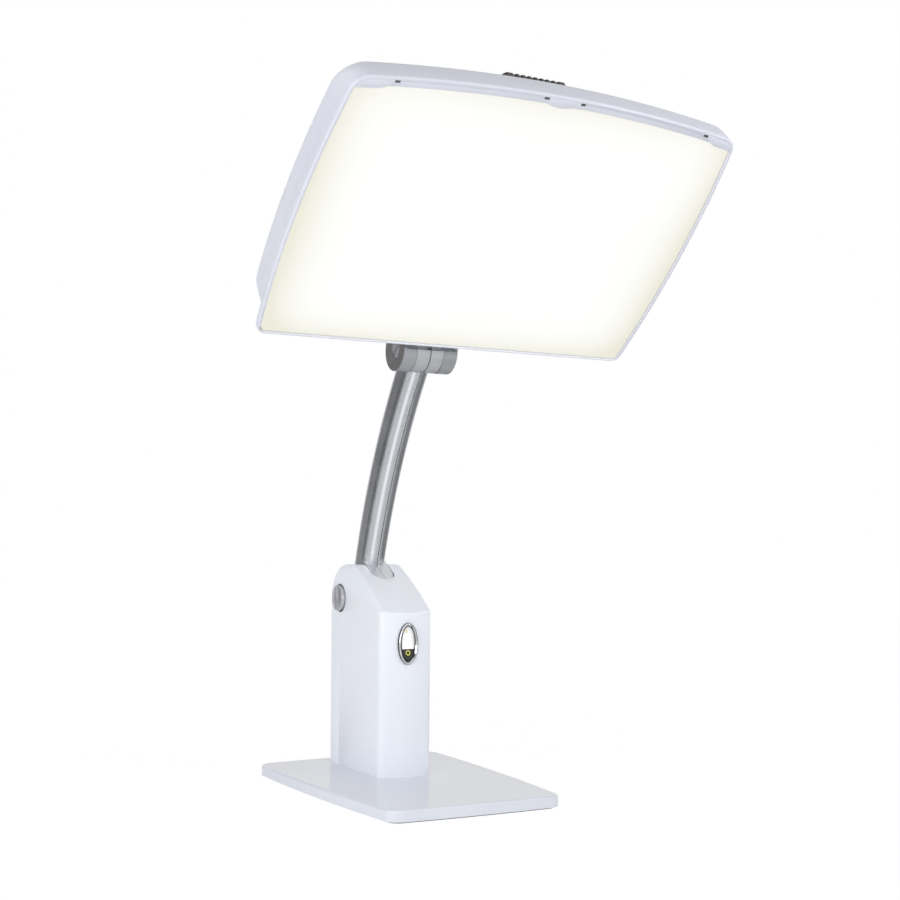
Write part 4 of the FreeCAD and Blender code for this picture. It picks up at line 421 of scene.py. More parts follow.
@dataclass(frozen=True, kw_only=True)
class LitDiffuser(Finish):
    """An opal sheet lit from behind: white in the middle, a little warmer towards its edges."""

    origin: Vector
    lean: float
    half_width: float
    height: float
    unlit: Steps = (40, 40, 38)
    side_power: float = 9.0
    end_power: float = 8.0
    end_share: float = 0.8
    mottle_scale: float = 14.0
    mottle_share: float = 0.12
    warm_range: tuple[float, float] = (0.04, 1.1)
    grain_scale: float = 1600.0
    grain_detail: float = 2.0
    grain_depth: float = 10 * MICRON

    def fill(self, tree: FinishTree) -> None:
        """Adds the light, warmer near the sheet's edges, and the grain.

        Args:
            tree: The new material.
        """
        shift = Matrix.Rotation(-self.lean, 4, "X") @ -self.origin
        across, up, _ = tree.parts_of(tree.mapped(turn=(-self.lean, 0, 0), shift=tuple(shift)))
        middle = tree.maths("SUBTRACT", up, self.height / 2)
        side = tree.maths("DIVIDE", tree.maths("ABSOLUTE", across), self.half_width)
        rise = tree.maths("DIVIDE", tree.maths("ABSOLUTE", middle), self.height / 2)
        ends = tree.maths("MULTIPLY", tree.maths("POWER", rise, self.end_power), self.end_share)
        spread = tree.maths("ADD", tree.maths("POWER", side, self.side_power), ends)
        mottle = tree.maths("MULTIPLY", tree.noise(self.mottle_scale), self.mottle_share)
        warmth = tree.between(tree.maths("ADD", spread, mottle), 0, 1, *self.warm_range)
        tree.drive("Emission Color", tree.blend(warmth, self.colour, self.second))
        tree.fix(Base_Color=self.unlit, Emission_Strength=1.0, Roughness=self.roughness)
        tree.relief(tree.noise(self.grain_scale, self.grain_detail), self.grain_depth)


@dataclass(frozen=True, kw_only=True)
class CircuitBoard(Finish):
    """Circuit board: copper tracks that show through the solder mask."""

    fields_per_metre: float = 60.0
    track_width: float = 0.06
    track_depth: float = 30 * MICRON
    gloss_scale: float = 300.0
    gloss_range: tuple[float, float] = (0.25, 0.4)

    def fill(self, tree: FinishTree) -> None:
        """Adds the tracks and an uneven gloss.

        Args:
            tree: The new material.
        """
        mask, track = linear(self.colour), linear(self.second)
        inputs = {"Color1": mask, "Color2": mask, "Mortar": track, "Mortar Size": self.track_width}
        inputs.update({"Vector": tree.mapped(turn=(QUARTER, 0, 0)), "Scale": self.fields_per_metre})
        tracks = tree.add("TexBrick", inputs).outputs
        tree.drive("Base Color", tracks["Color"])
        tree.relief(tracks["Fac"], self.track_depth)
        tree.drive("Roughness", tree.between(tree.noise(self.gloss_scale), *self.gloss_range))


@dataclass(frozen=True, kw_only=True)
class RockerPaintedReflection(Finish):
    """The rocker's gloss black face: a ring mark below a line, a dot above it, and above the line a painted
    white reflection of the lit screen, with a faint painted glow.
    """

    # line: where the painted white reflection starts, going up the face
    line: float
    ring_centre: Vector
    ring_radius: float
    dot_centre: Vector
    line_half: float = 0.3 * MM
    ring_edges: tuple[float, float] = (0.4 * MM, 0.7 * MM)
    dot_edges: tuple[float, float] = (1.9 * MM, 2.6 * MM)
    dot_share: float = 0.45
    mark: Steps = (205, 200, 70)
    gloss_scale: float = 90.0
    gloss_detail: float = 5.0
    gloss_range: tuple[float, float] = (0.03, 0.1)
    ripple_scale: float = 500.0
    ripple_depth: float = 4 * MICRON
    coat: float = 0.6
    coat_roughness: float = 0.03
    # painted glow: the rocker is no lamp, the emission only brightens its face
    glow: float = 0.16

    def fill(self, tree: FinishTree) -> None:
        """Adds the black, the painted white reflection above the line, the ring, the dot, the gloss and the
        painted glow.

        Args:
            tree: The new material.
        """
        across, _, up = tree.parts_of(tree.place)

        def distance(centre: Vector) -> Socket:
            """How far a point lies from a centre on the face.

            Args:
                centre: The centre.

            Returns:
                The distance.
            """
            side = tree.maths("POWER", tree.maths("SUBTRACT", across, centre.x), 2.0)
            rise = tree.maths("POWER", tree.maths("SUBTRACT", up, centre.z), 2.0)
            return tree.maths("SQRT", tree.maths("ADD", side, rise))

        # painted reflection: the face turns white above the line
        upper = tree.between(up, 0, 1, self.line - self.line_half, self.line + self.line_half)
        ring = tree.maths("ABSOLUTE", tree.maths("SUBTRACT", distance(self.ring_centre), self.ring_radius))
        marked = tree.between(ring, 1, 0, *self.ring_edges)
        dot = tree.between(distance(self.dot_centre), 1, 0, *self.dot_edges)
        marks = tree.maths("MAXIMUM", marked, tree.maths("MULTIPLY", dot, self.dot_share))
        face = tree.blend(marks, tree.blend(upper, self.colour, self.second), self.mark)
        tree.drive("Base Color", face)
        # painted glow: the face, painted reflection included, gives off a little light
        tree.drive("Emission Color", face)
        gloss = tree.noise(self.gloss_scale, self.gloss_detail)
        tree.drive("Roughness", tree.between(gloss, *self.gloss_range))
        tree.relief(tree.noise(self.ripple_scale), self.ripple_depth)
        tree.fix(Coat_Weight=self.coat, Coat_Roughness=self.coat_roughness, Emission_Strength=self.glow)


class FinishShop:
    """Makes each finish once, paints nodes and pieces with it, and hands in the new pieces."""

    def __init__(self) -> None:
        """Starts with no materials."""
        self.made: dict[str, bpy.types.Material] = {}

    def paint(self, piece: Piece, finish: Finish) -> None:
        """Gives a piece one finish all over.

        Args:
            piece: The mesh to paint.
            finish: The finish, whose name is its key.
        """
        if finish.name not in self.made:
            self.made[finish.name] = finish.build()
        piece.data.materials.clear()
        piece.data.materials.append(self.made[finish.name])

    def hand_in(self, piece: Piece, finish: Finish, body: Body, node: str | None = None) -> None:
        """Paints a new piece and says where it belongs.

        Args:
            piece: The piece.
            finish: Its finish.
            body: The body that carries it.
            node: The CAD node that it stands for, if any.
        """
        self.paint(piece, finish)
        if node is not None:
            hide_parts(node)
        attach(piece, body.value)
        log.info("%s: %s stands for %s", body.value, piece.name, node or "nothing else")


WHITE_GLOSS = MouldedPlastic(
    "white_gloss", (230, 233, 242), (226, 229, 239), 0.13, coat=0.5, grain_depth=1 * MICRON
)
WHITE_SATIN = MouldedPlastic("white_satin", (240, 243, 250), (237, 240, 248), 0.3)
WHITE_PANEL = MouldedPlastic("white_panel", (224, 226, 236), (219, 221, 232), 0.34)
WHITE_CLIP = MouldedPlastic("white_clip", (240, 240, 240), (230, 230, 230))
REFLECTOR = MouldedPlastic("white_reflector", (242, 242, 240), (236, 236, 234), 0.5)
SWITCH_BLACK = MouldedPlastic("black_moulding", (24, 24, 26), (32, 32, 34))
VENT_DARK = MouldedPlastic("vent_dark", (44, 42, 38), (60, 57, 50), 0.45)
PARTS_DARK = MouldedPlastic("driver_parts", (30, 31, 36), (52, 52, 58), 0.35)
FRICTION_FIBRE = MouldedPlastic("friction_fibre", (70, 60, 48), (48, 42, 36), 0.8)
LED_PHOSPHOR = MouldedPlastic("led_phosphor", (240, 222, 130), (232, 208, 104), 0.5)
SILVER_SATIN = SatinMetal("silver_satin", (222, 224, 228), (205, 207, 211), 0.28)
# The arm's silver made darker for the neck bracket: painted shade under the panel.
SHADED_HINGE_SATIN = SatinMetal("hinge_satin_painted_shade", (204, 206, 210), (184, 186, 190), 0.34)
CAP_SATIN = SatinMetal("cap_satin", (212, 212, 216), (190, 190, 195), 0.26, metallic=0.6)
DARK_SATIN = SatinMetal("dark_satin", (178, 174, 174), (160, 157, 158), 0.5)
BRIGHT_PLATE = TurnedMetal(
    "bright_plate", (225, 226, 228), (205, 206, 208), 0.05, line_depth=0.8 * MICRON
)
SCREW_STEEL = TurnedMetal("screw_steel", (190, 190, 192), (150, 150, 153), 0.25)
BALLAST_STEEL = TurnedMetal("ballast_steel", (96, 96, 100), (66, 62, 60), 0.5)
BRASS = TurnedMetal("contact_brass", (214, 182, 110), (170, 138, 76), 0.25)
PAD_RUBBER = Rubber("pad_rubber", (34, 34, 35), (60, 59, 57))
# Painted dark reflection and painted shade round the switch ring.
SWITCH_SHADE_BLACK = Rubber("switch_painted_shade", (14, 14, 15), (26, 26, 27), roughness=0.45)
SEAM_DARK = Rubber("seam_dark", (50, 50, 52), (66, 66, 68), roughness=0.6)
# Painted shade for the gap round the screen and the latches' notches.
GAP_SHADE_GREY = Rubber("gap_painted_shade", (78, 78, 80), (96, 96, 98))
CABLE_SHEATH = Rubber("cable_sheath", (52, 52, 54), (70, 70, 70), roughness=0.5)
GREEN_BOARD = CircuitBoard("green_board", (20, 74, 40), (34, 104, 56))
WHITE_BOARD = CircuitBoard("white_board", (232, 232, 226), (208, 208, 200))

# The nodes with a finish of their own; brackets, plates and fasteners are plain screw steel.
NODE_FINISHES = {
    node: finish
    for finish, nodes in (
        (WHITE_GLOSS, "base_cover"),
        (WHITE_SATIN, "column_front_shell column_rear_cover"),
        (WHITE_PANEL, "rear_shell front_bezel"),
        (WHITE_CLIP, "screen_clips"),
        (REFLECTOR, "reflector_tray"),
        (SWITCH_BLACK, "switch_body power_inlet"),
        (VENT_DARK, "vent_grille"),
        (PARTS_DARK, "driver_components panel_terminal"),
        (FRICTION_FIBRE, "friction_washers hinge_washers"),
        (LED_PHOSPHOR, "light_emitters"),
        (SILVER_SATIN, "arm_left_half arm_right_half heat_spreader"),
        (SHADED_HINGE_SATIN, "neck_bracket"),
        (CAP_SATIN, "pivot_cap_left pivot_cap_right hinge_pin hinge_nut"),
        (DARK_SATIN, "hinge_cap_left hinge_cap_right"),
        (BRIGHT_PLATE, "switch_bezel"),
        (BALLAST_STEEL, "ballast_plate"),
        (BRASS, "switch_terminals power_inlet_pin power_inlet_nut"),
        (PAD_RUBBER, "non_slip_pad"),
        (CABLE_SHEATH, "stand_cables arm_cable panel_cable"),
        (GREEN_BOARD, "driver_board"),
        (WHITE_BOARD, "light_strips"),
    )
    for node in nodes.split()
}


# ---------- modelling helpers
def pick(*pieces: Piece) -> None:
    """Leaves edit mode and selects only these pieces, the first as the active one.

    Args:
        pieces: What is selected.
    """
    if bpy.context.object is not None and bpy.context.object.mode != "OBJECT":
        bpy.ops.object.mode_set(mode="OBJECT")
    bpy.ops.object.select_all(action="DESELECT")
    for piece in pieces:
        piece.select_set(True)
    if pieces:
        bpy.context.view_layer.objects.active = pieces[0]


@contextmanager
def editing(piece: Piece) -> Iterator[bmesh.types.BMesh]:
    """Edit mode on one piece, with nothing selected at the start.

    Args:
        piece: The mesh to edit.

    Yields:
        The mesh as it is in edit mode.
    """
    pick(piece)
    bpy.ops.object.mode_set(mode="EDIT")
    bpy.ops.mesh.select_all(action="DESELECT")
    bpy.ops.mesh.select_mode(type="VERT")
    yield bmesh.from_edit_mesh(piece.data)
    bpy.ops.object.mode_set(mode="OBJECT")


def refresh(piece: Piece, mesh: bmesh.types.BMesh) -> None:
    """Shows the edit mode operators what code has changed."""
    mesh.normal_update()
    bmesh.update_edit_mesh(piece.data)


def work_on(piece: Piece, kind: str, **settings: object) -> None:
    """Gives a piece a modifier and applies it.

    Args:
        piece: The mesh.
        kind: The modifier's type.
        settings: What the modifier is set to.
    """
    modifier = piece.modifiers.new(kind.lower(), kind)
    for key, value in settings.items():
        setattr(modifier, key, value)
    pick(piece)
    bpy.ops.object.modifier_apply(modifier=modifier.name)


def soften(piece: Piece, width: float) -> None:
    """Rounds the sharp edges of a piece.

    Args:
        piece: The mesh.
        width: The width of the rounding.
    """
    sharp = math.radians(50.0)
    limit = {"limit_method": "ANGLE", "angle_limit": sharp, "use_clamp_overlap": True}
    work_on(piece, "BEVEL", width=width, segments=2, **limit)


def smooth(piece: Piece, angle: float) -> None:
    """Shades a piece smooth, with creases at its sharper edges.

    Args:
        piece: The mesh.
        angle: The crease angle, in degrees.
    """
    pick(piece)
    bpy.ops.object.shade_smooth_by_angle(angle=math.radians(angle))


def combine(piece: Piece, work: Work, *others: Piece) -> None:
    """Lets other pieces work on a piece, and removes them.

    Args:
        piece: The mesh that is changed.
        work: What the others do to it.
        others: The other meshes.
    """
    for other in others:
        work_on(piece, "BOOLEAN", operation=work.value, solver="EXACT", object=other)
        bpy.data.objects.remove(other)


def settle(piece: Piece, name: str, frame: Matrix | None = None) -> Piece:
    """Names a piece and puts its place into its mesh.

    Args:
        piece: The mesh.
        name: Its name.
        frame: Where the frame that it was made in lies, or none for the part's own.

    Returns:
        The piece.
    """
    if frame is not None:
        piece.matrix_world = frame @ piece.matrix_world
    pick(piece)
    bpy.ops.object.transform_apply(location=True, rotation=True, scale=True)
    piece.name = name
    piece.data.name = name
    return piece


def block(low: Sequence[float], high: Sequence[float]) -> Piece:
    """A block between two corners.

    Args:
        low: The lowest corner.
        high: The highest corner.

    Returns:
        The block.
    """
    pick()
    bpy.ops.mesh.primitive_cube_add(size=1)
    piece = bpy.context.object
    piece.location = [(a + b) / 2 for a, b in zip(low, high)]
    piece.scale = [b - a for a, b in zip(low, high)]
    return settle(piece, "block")


def cylinder(
    radius: float,
    length: float,
    middle: Triple,
    turn: Triple = (0, 0, 0),
    stretch: Triple = (1, 1, 1),
    sides: int = 64,
) -> Piece:
    """A cylinder, upright unless it is turned.

    Args:
        radius: Its radius.
        length: Its length.
        middle: Where its middle is.
        turn: Its turn about each axis, in radians.
        stretch: Its scale along each of its own axes.
        sides: Its number of sides.

    Returns:
        The cylinder.
    """
    pick()
    bpy.ops.mesh.primitive_cylinder_add(vertices=sides, radius=radius, depth=length)
    piece = bpy.context.object
    piece.rotation_euler = turn
    piece.scale = stretch
    piece.location = middle
    return settle(piece, "cylinder")


def loft(rings: Sequence[Sequence[Vector]], closed: bool = False) -> Piece:
    """A skin through rings of points: a circle is set on the first ring and extruded to the others.

    Args:
        rings: Rings with the same number of points each.
        closed: Whether the last ring is joined back to the first, instead of both being filled.

    Returns:
        The skin.
    """
    pick()
    count = len(rings[0])
    bpy.ops.mesh.primitive_circle_add(vertices=count, radius=1.0, fill_type="NOTHING")
    piece = bpy.context.object
    with editing(piece) as mesh:
        bpy.ops.mesh.select_all(action="SELECT")
        for index, ring in enumerate(rings):
            if index:
                bpy.ops.mesh.extrude_edges_move()
                mesh = bmesh.from_edit_mesh(piece.data)
            mesh.verts.ensure_lookup_table()
            for vertex, point in zip(mesh.verts[index * count : (index + 1) * count], ring):
                vertex.co = point
            refresh(piece, mesh)
        mesh = bmesh.from_edit_mesh(piece.data)
        mesh.verts.ensure_lookup_table()
        first = list(mesh.verts)[:count]
        last = list(mesh.verts)[-count:]
        bpy.ops.mesh.select_all(action="DESELECT")
        if closed:
            for vertex in first + last:
                vertex.select = True
            mesh.select_flush_mode()
            refresh(piece, mesh)
            bpy.ops.mesh.select_mode(type="EDGE")
            bpy.ops.mesh.bridge_edge_loops()
        else:
            for loop in (first, last):
                mesh.faces.new(loop)
            refresh(piece, mesh)
        bpy.ops.mesh.select_all(action="SELECT")
        bpy.ops.mesh.normals_make_consistent(inside=False)
    return piece


def join(*pieces: Piece) -> Piece:
    """Joins meshes into the first one.

    Args:
        pieces: The meshes.

    Returns:
        The first one.
    """
    pick(*pieces)
    bpy.ops.object.join()
    return pieces[0]


# ---------- outlines
def arc(
    middle: Sequence[float], radius: float, start: float, stop: float, steps: int
) -> list[tuple[float, float]]:
    """Points along a circular arc.

    Args:
        middle: The circle's middle.
        radius: Its radius.
        start: The first point's angle, in quarter turns.
        stop: The last point's angle, in quarter turns.
        steps: Segments along the arc.

    Returns:
        The points, with both ends.
    """
    angles = [QUARTER * (start + (stop - start) * step / steps) for step in range(steps + 1)]
    return [(middle[0] + radius * math.cos(angle), middle[1] + radius * math.sin(angle)) for angle in angles]


def circle_x(x: float, middle: Sequence[float], radius: float, count: int) -> list[Vector]:
    """Points round a circle square to X.

    Args:
        x: Where it lies along X.
        middle: Its middle's y and z.
        radius: Its radius.
        count: How many points it has.

    Returns:
        The points.
    """
    return [Vector((x, *point)) for point in arc(middle, radius, 0, 4, count)[:-1]]


def fillet(before: Vector, corner: Vector, after: Vector, radius: float, steps: int) -> list[Vector]:
    """Rounds one corner of a flat outline with a circular arc.

    Args:
        before: The point before the corner.
        corner: The corner.
        after: The point after the corner.
        radius: The arc's radius.
        steps: Segments along the arc.

    Returns:
        The arc's points, from the first side to the second.
    """
    start = (before - corner).normalized()
    end = (after - corner).normalized()
    half_angle = start.angle(end) / 2
    reach = radius / math.tan(half_angle)
    centre = corner + (start + end).normalized() * (radius / math.sin(half_angle))
    first = corner + start * reach - centre
    last = corner + end * reach - centre
    return [centre + first.slerp(last, step / steps).normalized() * radius for step in range(steps + 1)]


def between_points(first: Vector, last: Vector, count: int) -> list[Vector]:
    """Evenly spaced points between two points, without the two."""
    return [first.lerp(last, step / (count + 1)) for step in range(1, count + 1)]


def spline(controls: Sequence[Vector], steps: int) -> list[Vector]:
    """A smooth curve that starts at the first control point, ends at the last and rounds the others.

    Args:
        controls: The control points, of any dimension.
        steps: Segments for each rounded control point.

    Returns:
        The curve's points.
    """
    points = [controls[0].copy()]
    for index in range(1, len(controls) - 1):
        before, middle, after = controls[index - 1 : index + 2]
        start = before.lerp(middle, 0.5) if index > 1 else before
        stop = after if index == len(controls) - 2 else middle.lerp(after, 0.5)
        for step in range(1, steps + 1):
            share = step / steps
            points.append(start.lerp(middle, share).lerp(middle.lerp(stop, share), share))
    return points


@dataclass(frozen=True)
class PanelForm:
    """The light panel's outline and its own frame: across, up the face, and out of it."""

    bottom_half: float = 198.5 * MM
    top_half: float = 190 * MM
    side_bulge: float = 8 * MM
    side_height: float = 268 * MM
    middle_height: float = 281 * MM
    low_corner: float = 3.5 * MM
    top_corner: float = 9 * MM
    origin: Vector = field(default_factory=lambda: Vector((0, -85.385, 455.853)) * MM)
    turn: float = math.radians(138.5)
    low_steps: int = 5
    low_bend_steps: int = 6
    side_steps: int = 24
    top_bend_steps: int = 10
    top_steps: int = 20

    def frame(self) -> Matrix:
        """Where the panel's frame lies in the part's frame."""
        return Matrix.Translation(self.origin) @ Matrix.Rotation(self.turn, 4, "X")

    def side_reach(self, height: float, grow: float) -> float:
        """Half the screen's width at a height, grown by a margin.

        Args:
            height: The height.
            grow: The margin.

        Returns:
            The half width.
        """
        share = height / self.side_height
        straight = self.bottom_half + (self.top_half - self.bottom_half) * share
        return straight + 4 * self.side_bulge * share * (1 - share) + grow

    def top_reach(self, across: float, grow: float) -> float:
        """The screen's height at a distance from the middle, grown by a margin.

        Args:
            across: The distance.
            grow: The margin.

        Returns:
            The height.
        """
        share = across / self.top_half
        arch = self.middle_height - self.side_height
        return self.side_height + arch * (1 - share * share) + grow

    def ring(
        self, depth: float, grow: float, low: float, drop: float = 0.0, more_round: float = 0.0
    ) -> list[Vector]:
        """The outline at a depth behind the face.

        Args:
            depth: The depth.
            grow: The margin that the screen's outline is grown by.
            low: The height of the lower edge.
            drop: How far the upper edge is lowered.
            more_round: What is added to the radius of the upper corners.

        Returns:
            The outline's points, counterclockwise from the lower edge's middle.
        """
        outward = max(grow, 0.0)
        low_round = self.low_corner + outward
        top_round = self.top_corner + outward + more_round
        corner_height = self.side_height + grow - drop
        corner_x = self.side_reach(corner_height, grow)
        low_corner = Vector((self.side_reach(low, grow), low))
        low_start = Vector((low_corner.x - low_round, low))
        side_start = Vector((self.side_reach(low + low_round, grow), low + low_round))
        side_stop = Vector((self.side_reach(corner_height - top_round, grow), corner_height - top_round))
        top_start = Vector((corner_x - top_round, self.top_reach(corner_x - top_round, grow) - drop))
        top_corner = Vector((corner_x, self.top_reach(corner_x, grow) - drop))
        top_middle = Vector((0.0, self.top_reach(0.0, grow) - drop))
        right = between_points(Vector((0.0, low)), low_start, self.low_steps)
        right += self.bend(low_start, low_corner, side_start, self.low_bend_steps)
        for point in between_points(side_start, side_stop, self.side_steps):
            right.append(Vector((self.side_reach(point.y, grow), point.y)))
        right += self.bend(side_stop, top_corner, top_start, self.top_bend_steps)
        for point in between_points(top_start, top_middle, self.top_steps):
            right.append(Vector((point.x, self.top_reach(point.x, grow) - drop)))
        left = [Vector((-point.x, point.y)) for point in reversed(right)]
        flat = [Vector((0.0, low))] + right + [top_middle] + left
        return [Vector((point.x, point.y, -depth)) for point in flat]

    @staticmethod
    def bend(start: Vector, corner: Vector, stop: Vector, steps: int) -> list[Vector]:
        """A round corner between two points, close to a circular arc.

        Args:
            start: Where it starts.
            corner: The sharp corner that it replaces.
            stop: Where it stops.
            steps: Segments along it.

        Returns:
            Its points.
        """
        weight = math.cos(math.pi / 4)
        points = []
        for share in (step / steps for step in range(steps + 1)):
            first, middle, last = (1 - share) ** 2, 2 * weight * share * (1 - share), share**2
            points.append((start * first + corner * middle + stop * last) / (first + middle + last))
        return points


@dataclass(frozen=True)
class LightPanel:
    """The light panel's outside: bezel with its tabs, diffuser and rear shell with its spine."""

    form: PanelForm = field(default_factory=PanelForm)
    gap: float = 1.2 * MM
    rim_width: float = 3.4 * MM
    rim_low: float = 1.8 * MM
    rim_back: float = 6 * MM
    mouth_depth: float = 4 * MM
    lip_round: float = 0.6 * MM
    edge_round: float = 1.8 * MM
    housing_step: float = 0.4 * MM
    housing_join: float = 1 * MM
    housing_run: float = 4 * MM
    housing_insets: Triple = (0.25 * MM, 0.12 * MM, 0.5 * MM)
    housing_back: float = 16 * MM
    housing_low: float = 22 * MM
    wall: float = 2.2 * MM
    ledge_grow: float = 1 * MM
    ledge_step: float = 0.7 * MM
    ledge_clear: float = 0.1 * MM
    hem: float = 5 * MM
    hem_front: float = 1 * MM
    hem_back: float = 1.45 * MM
    hem_lap: float = 4 * MM
    plate_reach: float = 0.5 * MM
    plate_soft: float = 0.2 * MM
    tab_fall: float = 7 * MM
    tab_front: float = 0.1 * MM
    tab_back: float = 0.95 * MM
    tab_end: float = 1 * MM
    run_start: float = 0.55
    # The notch sizes are for dark blocks of painted shade at the latches' notches.
    notch_half: float = 2.4 * MM
    notch_height: float = 2.3 * MM
    notch_front: float = 0.7 * MM
    notch_back: float = 1.2 * MM
    middle_tab: float = 16 * MM
    corner_tab: float = 31 * MM
    plate_steps: int = 36
    # Painted shade for the gap round the screen: a dark grey strip just behind the gap.
    shade_reach: float = 0.3 * MM
    shade_inside: float = 2 * MM
    shade_depths: tuple[float, float] = (0.05 * MM, 0.6 * MM)
    screen_front: float = 1.5 * MM
    screen_back: float = 4 * MM
    screen_round: float = 0.5 * MM
    screen_crease: float = 50.0
    shell_front: float = 16.03 * MM
    shell_lap: float = 4 * MM
    shell_grow: float = 3.8 * MM
    shell_low: float = 22.8 * MM
    shell_back: float = 46 * MM
    shell_side: Triple = (24 * MM, 38.5 * MM, 7 * MM)
    shell_drops: Triple = (12 * MM, 10 * MM, 6 * MM)
    shell_insets: tuple[float, float] = (10 * MM, 26 * MM)
    shell_rises: tuple[float, float] = (13 * MM, 27 * MM)
    corner_spread: float = 16 * MM
    shell_steps: int = 6
    shell_crease: float = 30.0
    spine_half: float = 36 * MM
    spine_low: float = 29.8 * MM
    spine_top: float = 240 * MM
    spine_back: float = 64 * MM
    spine_start: float = 40 * MM
    spine_round: float = 7 * MM
    spine_run: float = 14 * MM
    spine_fall: float = 12 * MM
    spine_shares: tuple[float, ...] = (0.0, 0.12, 0.3, 0.55, 1.0)
    spine_steps: int = 6
    door_half: float = 26.6 * MM
    door_height: float = 19 * MM
    door_front: float = 32.4 * MM
    door_back: float = 53.6 * MM
    vent_half: float = 27 * MM
    vent_start: float = 5 * MM
    vent_top: float = 262 * MM
    vent_front: float = 36 * MM
    crease: float = 34.0

    def rim_low_edge(self, grow: float) -> float:
        """The rim's lower edge for one margin: the rim is thinner there."""
        return -(self.gap + self.rim_low * (grow - self.gap) / self.rim_width)

    def build_rim(self) -> Piece:
        """The rim round the screen: from its mouth round the face to the outside.

        Returns:
            The rim.
        """
        outer = self.gap + self.rim_width
        section = [(self.gap, self.mouth_depth)]
        section += arc((self.gap + self.lip_round, self.lip_round), self.lip_round, 2, 3, 4)
        section += arc((outer - self.edge_round, self.edge_round), self.edge_round, 3, 4, 8)
        section += [(outer, self.rim_back), (self.gap + self.wall, self.rim_back)]
        section.append((self.gap + self.wall, self.mouth_depth))
        rings = [self.form.ring(depth, grow, self.rim_low_edge(grow)) for grow, depth in section]
        return loft(rings, closed=True)

    def build_housing(self) -> Piece:
        """The bezel's side wall behind the rim, higher up than the rim along its lower edge.

        Returns:
            The side wall.
        """
        outer = self.gap + self.rim_width
        inner = outer - 2 * self.wall
        start = self.mouth_depth + self.housing_step
        front, middle, back = (outer - inset for inset in self.housing_insets)
        levels = (
            (start, front, self.housing_low),
            (self.rim_back + self.housing_join, middle, self.housing_low),
            (self.housing_back - self.housing_run, back, self.housing_low + self.housing_step),
            (self.housing_back, self.shell_grow, self.shell_low),
            (self.housing_back, inner, self.shell_low + self.wall),
            (start, inner, self.housing_low + self.wall),
        )
        return loft([self.form.ring(*level) for level in levels], closed=True)

    def build_ledge(self) -> Piece:
        """The flange behind the screen's lower edge, from the rim up to the side wall's underside.

        Returns:
            The flange.
        """
        grow = self.gap + self.ledge_grow
        depths = (self.mouth_depth + self.ledge_step, self.rim_back - self.ledge_clear)
        flange = loft([self.form.ring(depth, grow, self.rim_low_edge(grow)) for depth in depths])
        reach = 2 * self.form.bottom_half
        keep = block((-reach, -reach, -self.housing_back), (reach, self.housing_low + self.wall, 0.0))
        combine(flange, Work.KEEP, keep)
        return flange

    def build_plate(
        self, low_x: float, high_x: float, overlap: Callable[[float], float], front: float, back: float
    ) -> Piece:
        """A flat plate from the rim over the screen's upper edge.

        Args:
            low_x: Its left end.
            high_x: Its right end.
            overlap: How far it hangs over the screen, for a share 0 to 1 of its length.
            front: Its front face's depth.
            back: Its back face's depth.

        Returns:
            The plate.
        """
        lower, upper = [], []
        for share in (step / self.plate_steps for step in range(self.plate_steps + 1)):
            x = low_x + (high_x - low_x) * share
            lower.append((x, self.form.top_reach(x, 0.0) - overlap(share)))
            upper.append((x, self.form.top_reach(x, self.gap + self.plate_reach)))
        plate = loft([[Vector((*point, -depth)) for point in lower + upper[::-1]] for depth in (front, back)])
        soften(plate, self.plate_soft)
        return plate

    def run_out(self, share: float) -> float:
        """How far along its run-out a tab's lower edge is, 0 to 1."""
        return max(0.0, (share - self.run_start) / (1 - self.run_start))

    def middle_overlap(self, share: float) -> float:
        """The middle tab's lower edge: square on its left, run out in a curve on its right.

        Args:
            share: How far along the tab it is, 0 to 1.

        Returns:
            How far the tab hangs down.
        """
        full, steepness = 0.8, 2.4
        fall = 1 - self.run_out(share) ** steepness
        return self.hem + (self.tab_fall - self.hem) * math.sin(math.pi * min(share / full, 1.0)) * fall

    def corner_overlap(self, share: float) -> float:
        """A corner tab's lower edge: level, then run out in a curve at its inner end."""
        left, steepness = 0.45, 1.8
        return self.tab_fall - (self.tab_fall - self.hem * left) * self.run_out(share) ** steepness

    def corner_tab_ends(self) -> tuple[float, float]:
        """The inner and the outer end of the right corner's tab."""
        outer = self.form.side_reach(self.form.side_height, 0.0) + self.tab_end
        return outer - self.corner_tab, outer

    def build_bezel(self) -> Piece:
        """The whole front bezel: rim, side wall, the hem over the screen's upper edge and three tabs.

        Returns:
            The bezel.
        """
        inner, outer = self.corner_tab_ends()
        hem_end = inner + self.hem_lap
        hem = (self.hem_front, self.hem_back)
        tab = (self.tab_front, self.tab_back)
        bezel = join(
            self.build_rim(),
            self.build_housing(),
            self.build_ledge(),
            self.build_plate(-hem_end, hem_end, lambda share: self.hem, *hem),
            self.build_plate(-self.middle_tab, self.middle_tab, self.middle_overlap, *tab),
            self.build_plate(inner, outer, lambda share: self.corner_overlap(1 - share), *tab),
            self.build_plate(-outer, -inner, self.corner_overlap, *tab),
        )
        smooth(bezel, self.crease)
        return settle(bezel, "bezel_moulding", self.form.frame())

    def build_notch_shade(self, x: float) -> Piece:
        """A dark block at a latch's notch in the gap over the screen: painted shade for the notch's recess.

        Args:
            x: Its middle.

        Returns:
            The block of painted shade.
        """
        y = self.form.top_reach(x, self.gap)
        low = (x - self.notch_half, y - self.notch_height, -self.notch_back)
        notch = block(low, (x + self.notch_half, y, -self.notch_front))
        slope = 2 * (self.form.middle_height - self.form.side_height) * x / self.form.top_half**2
        with editing(notch):
            bpy.ops.mesh.select_all(action="SELECT")
            bpy.ops.transform.rotate(value=slope, orient_axis="Z", center_override=(x, y, 0))
        return notch

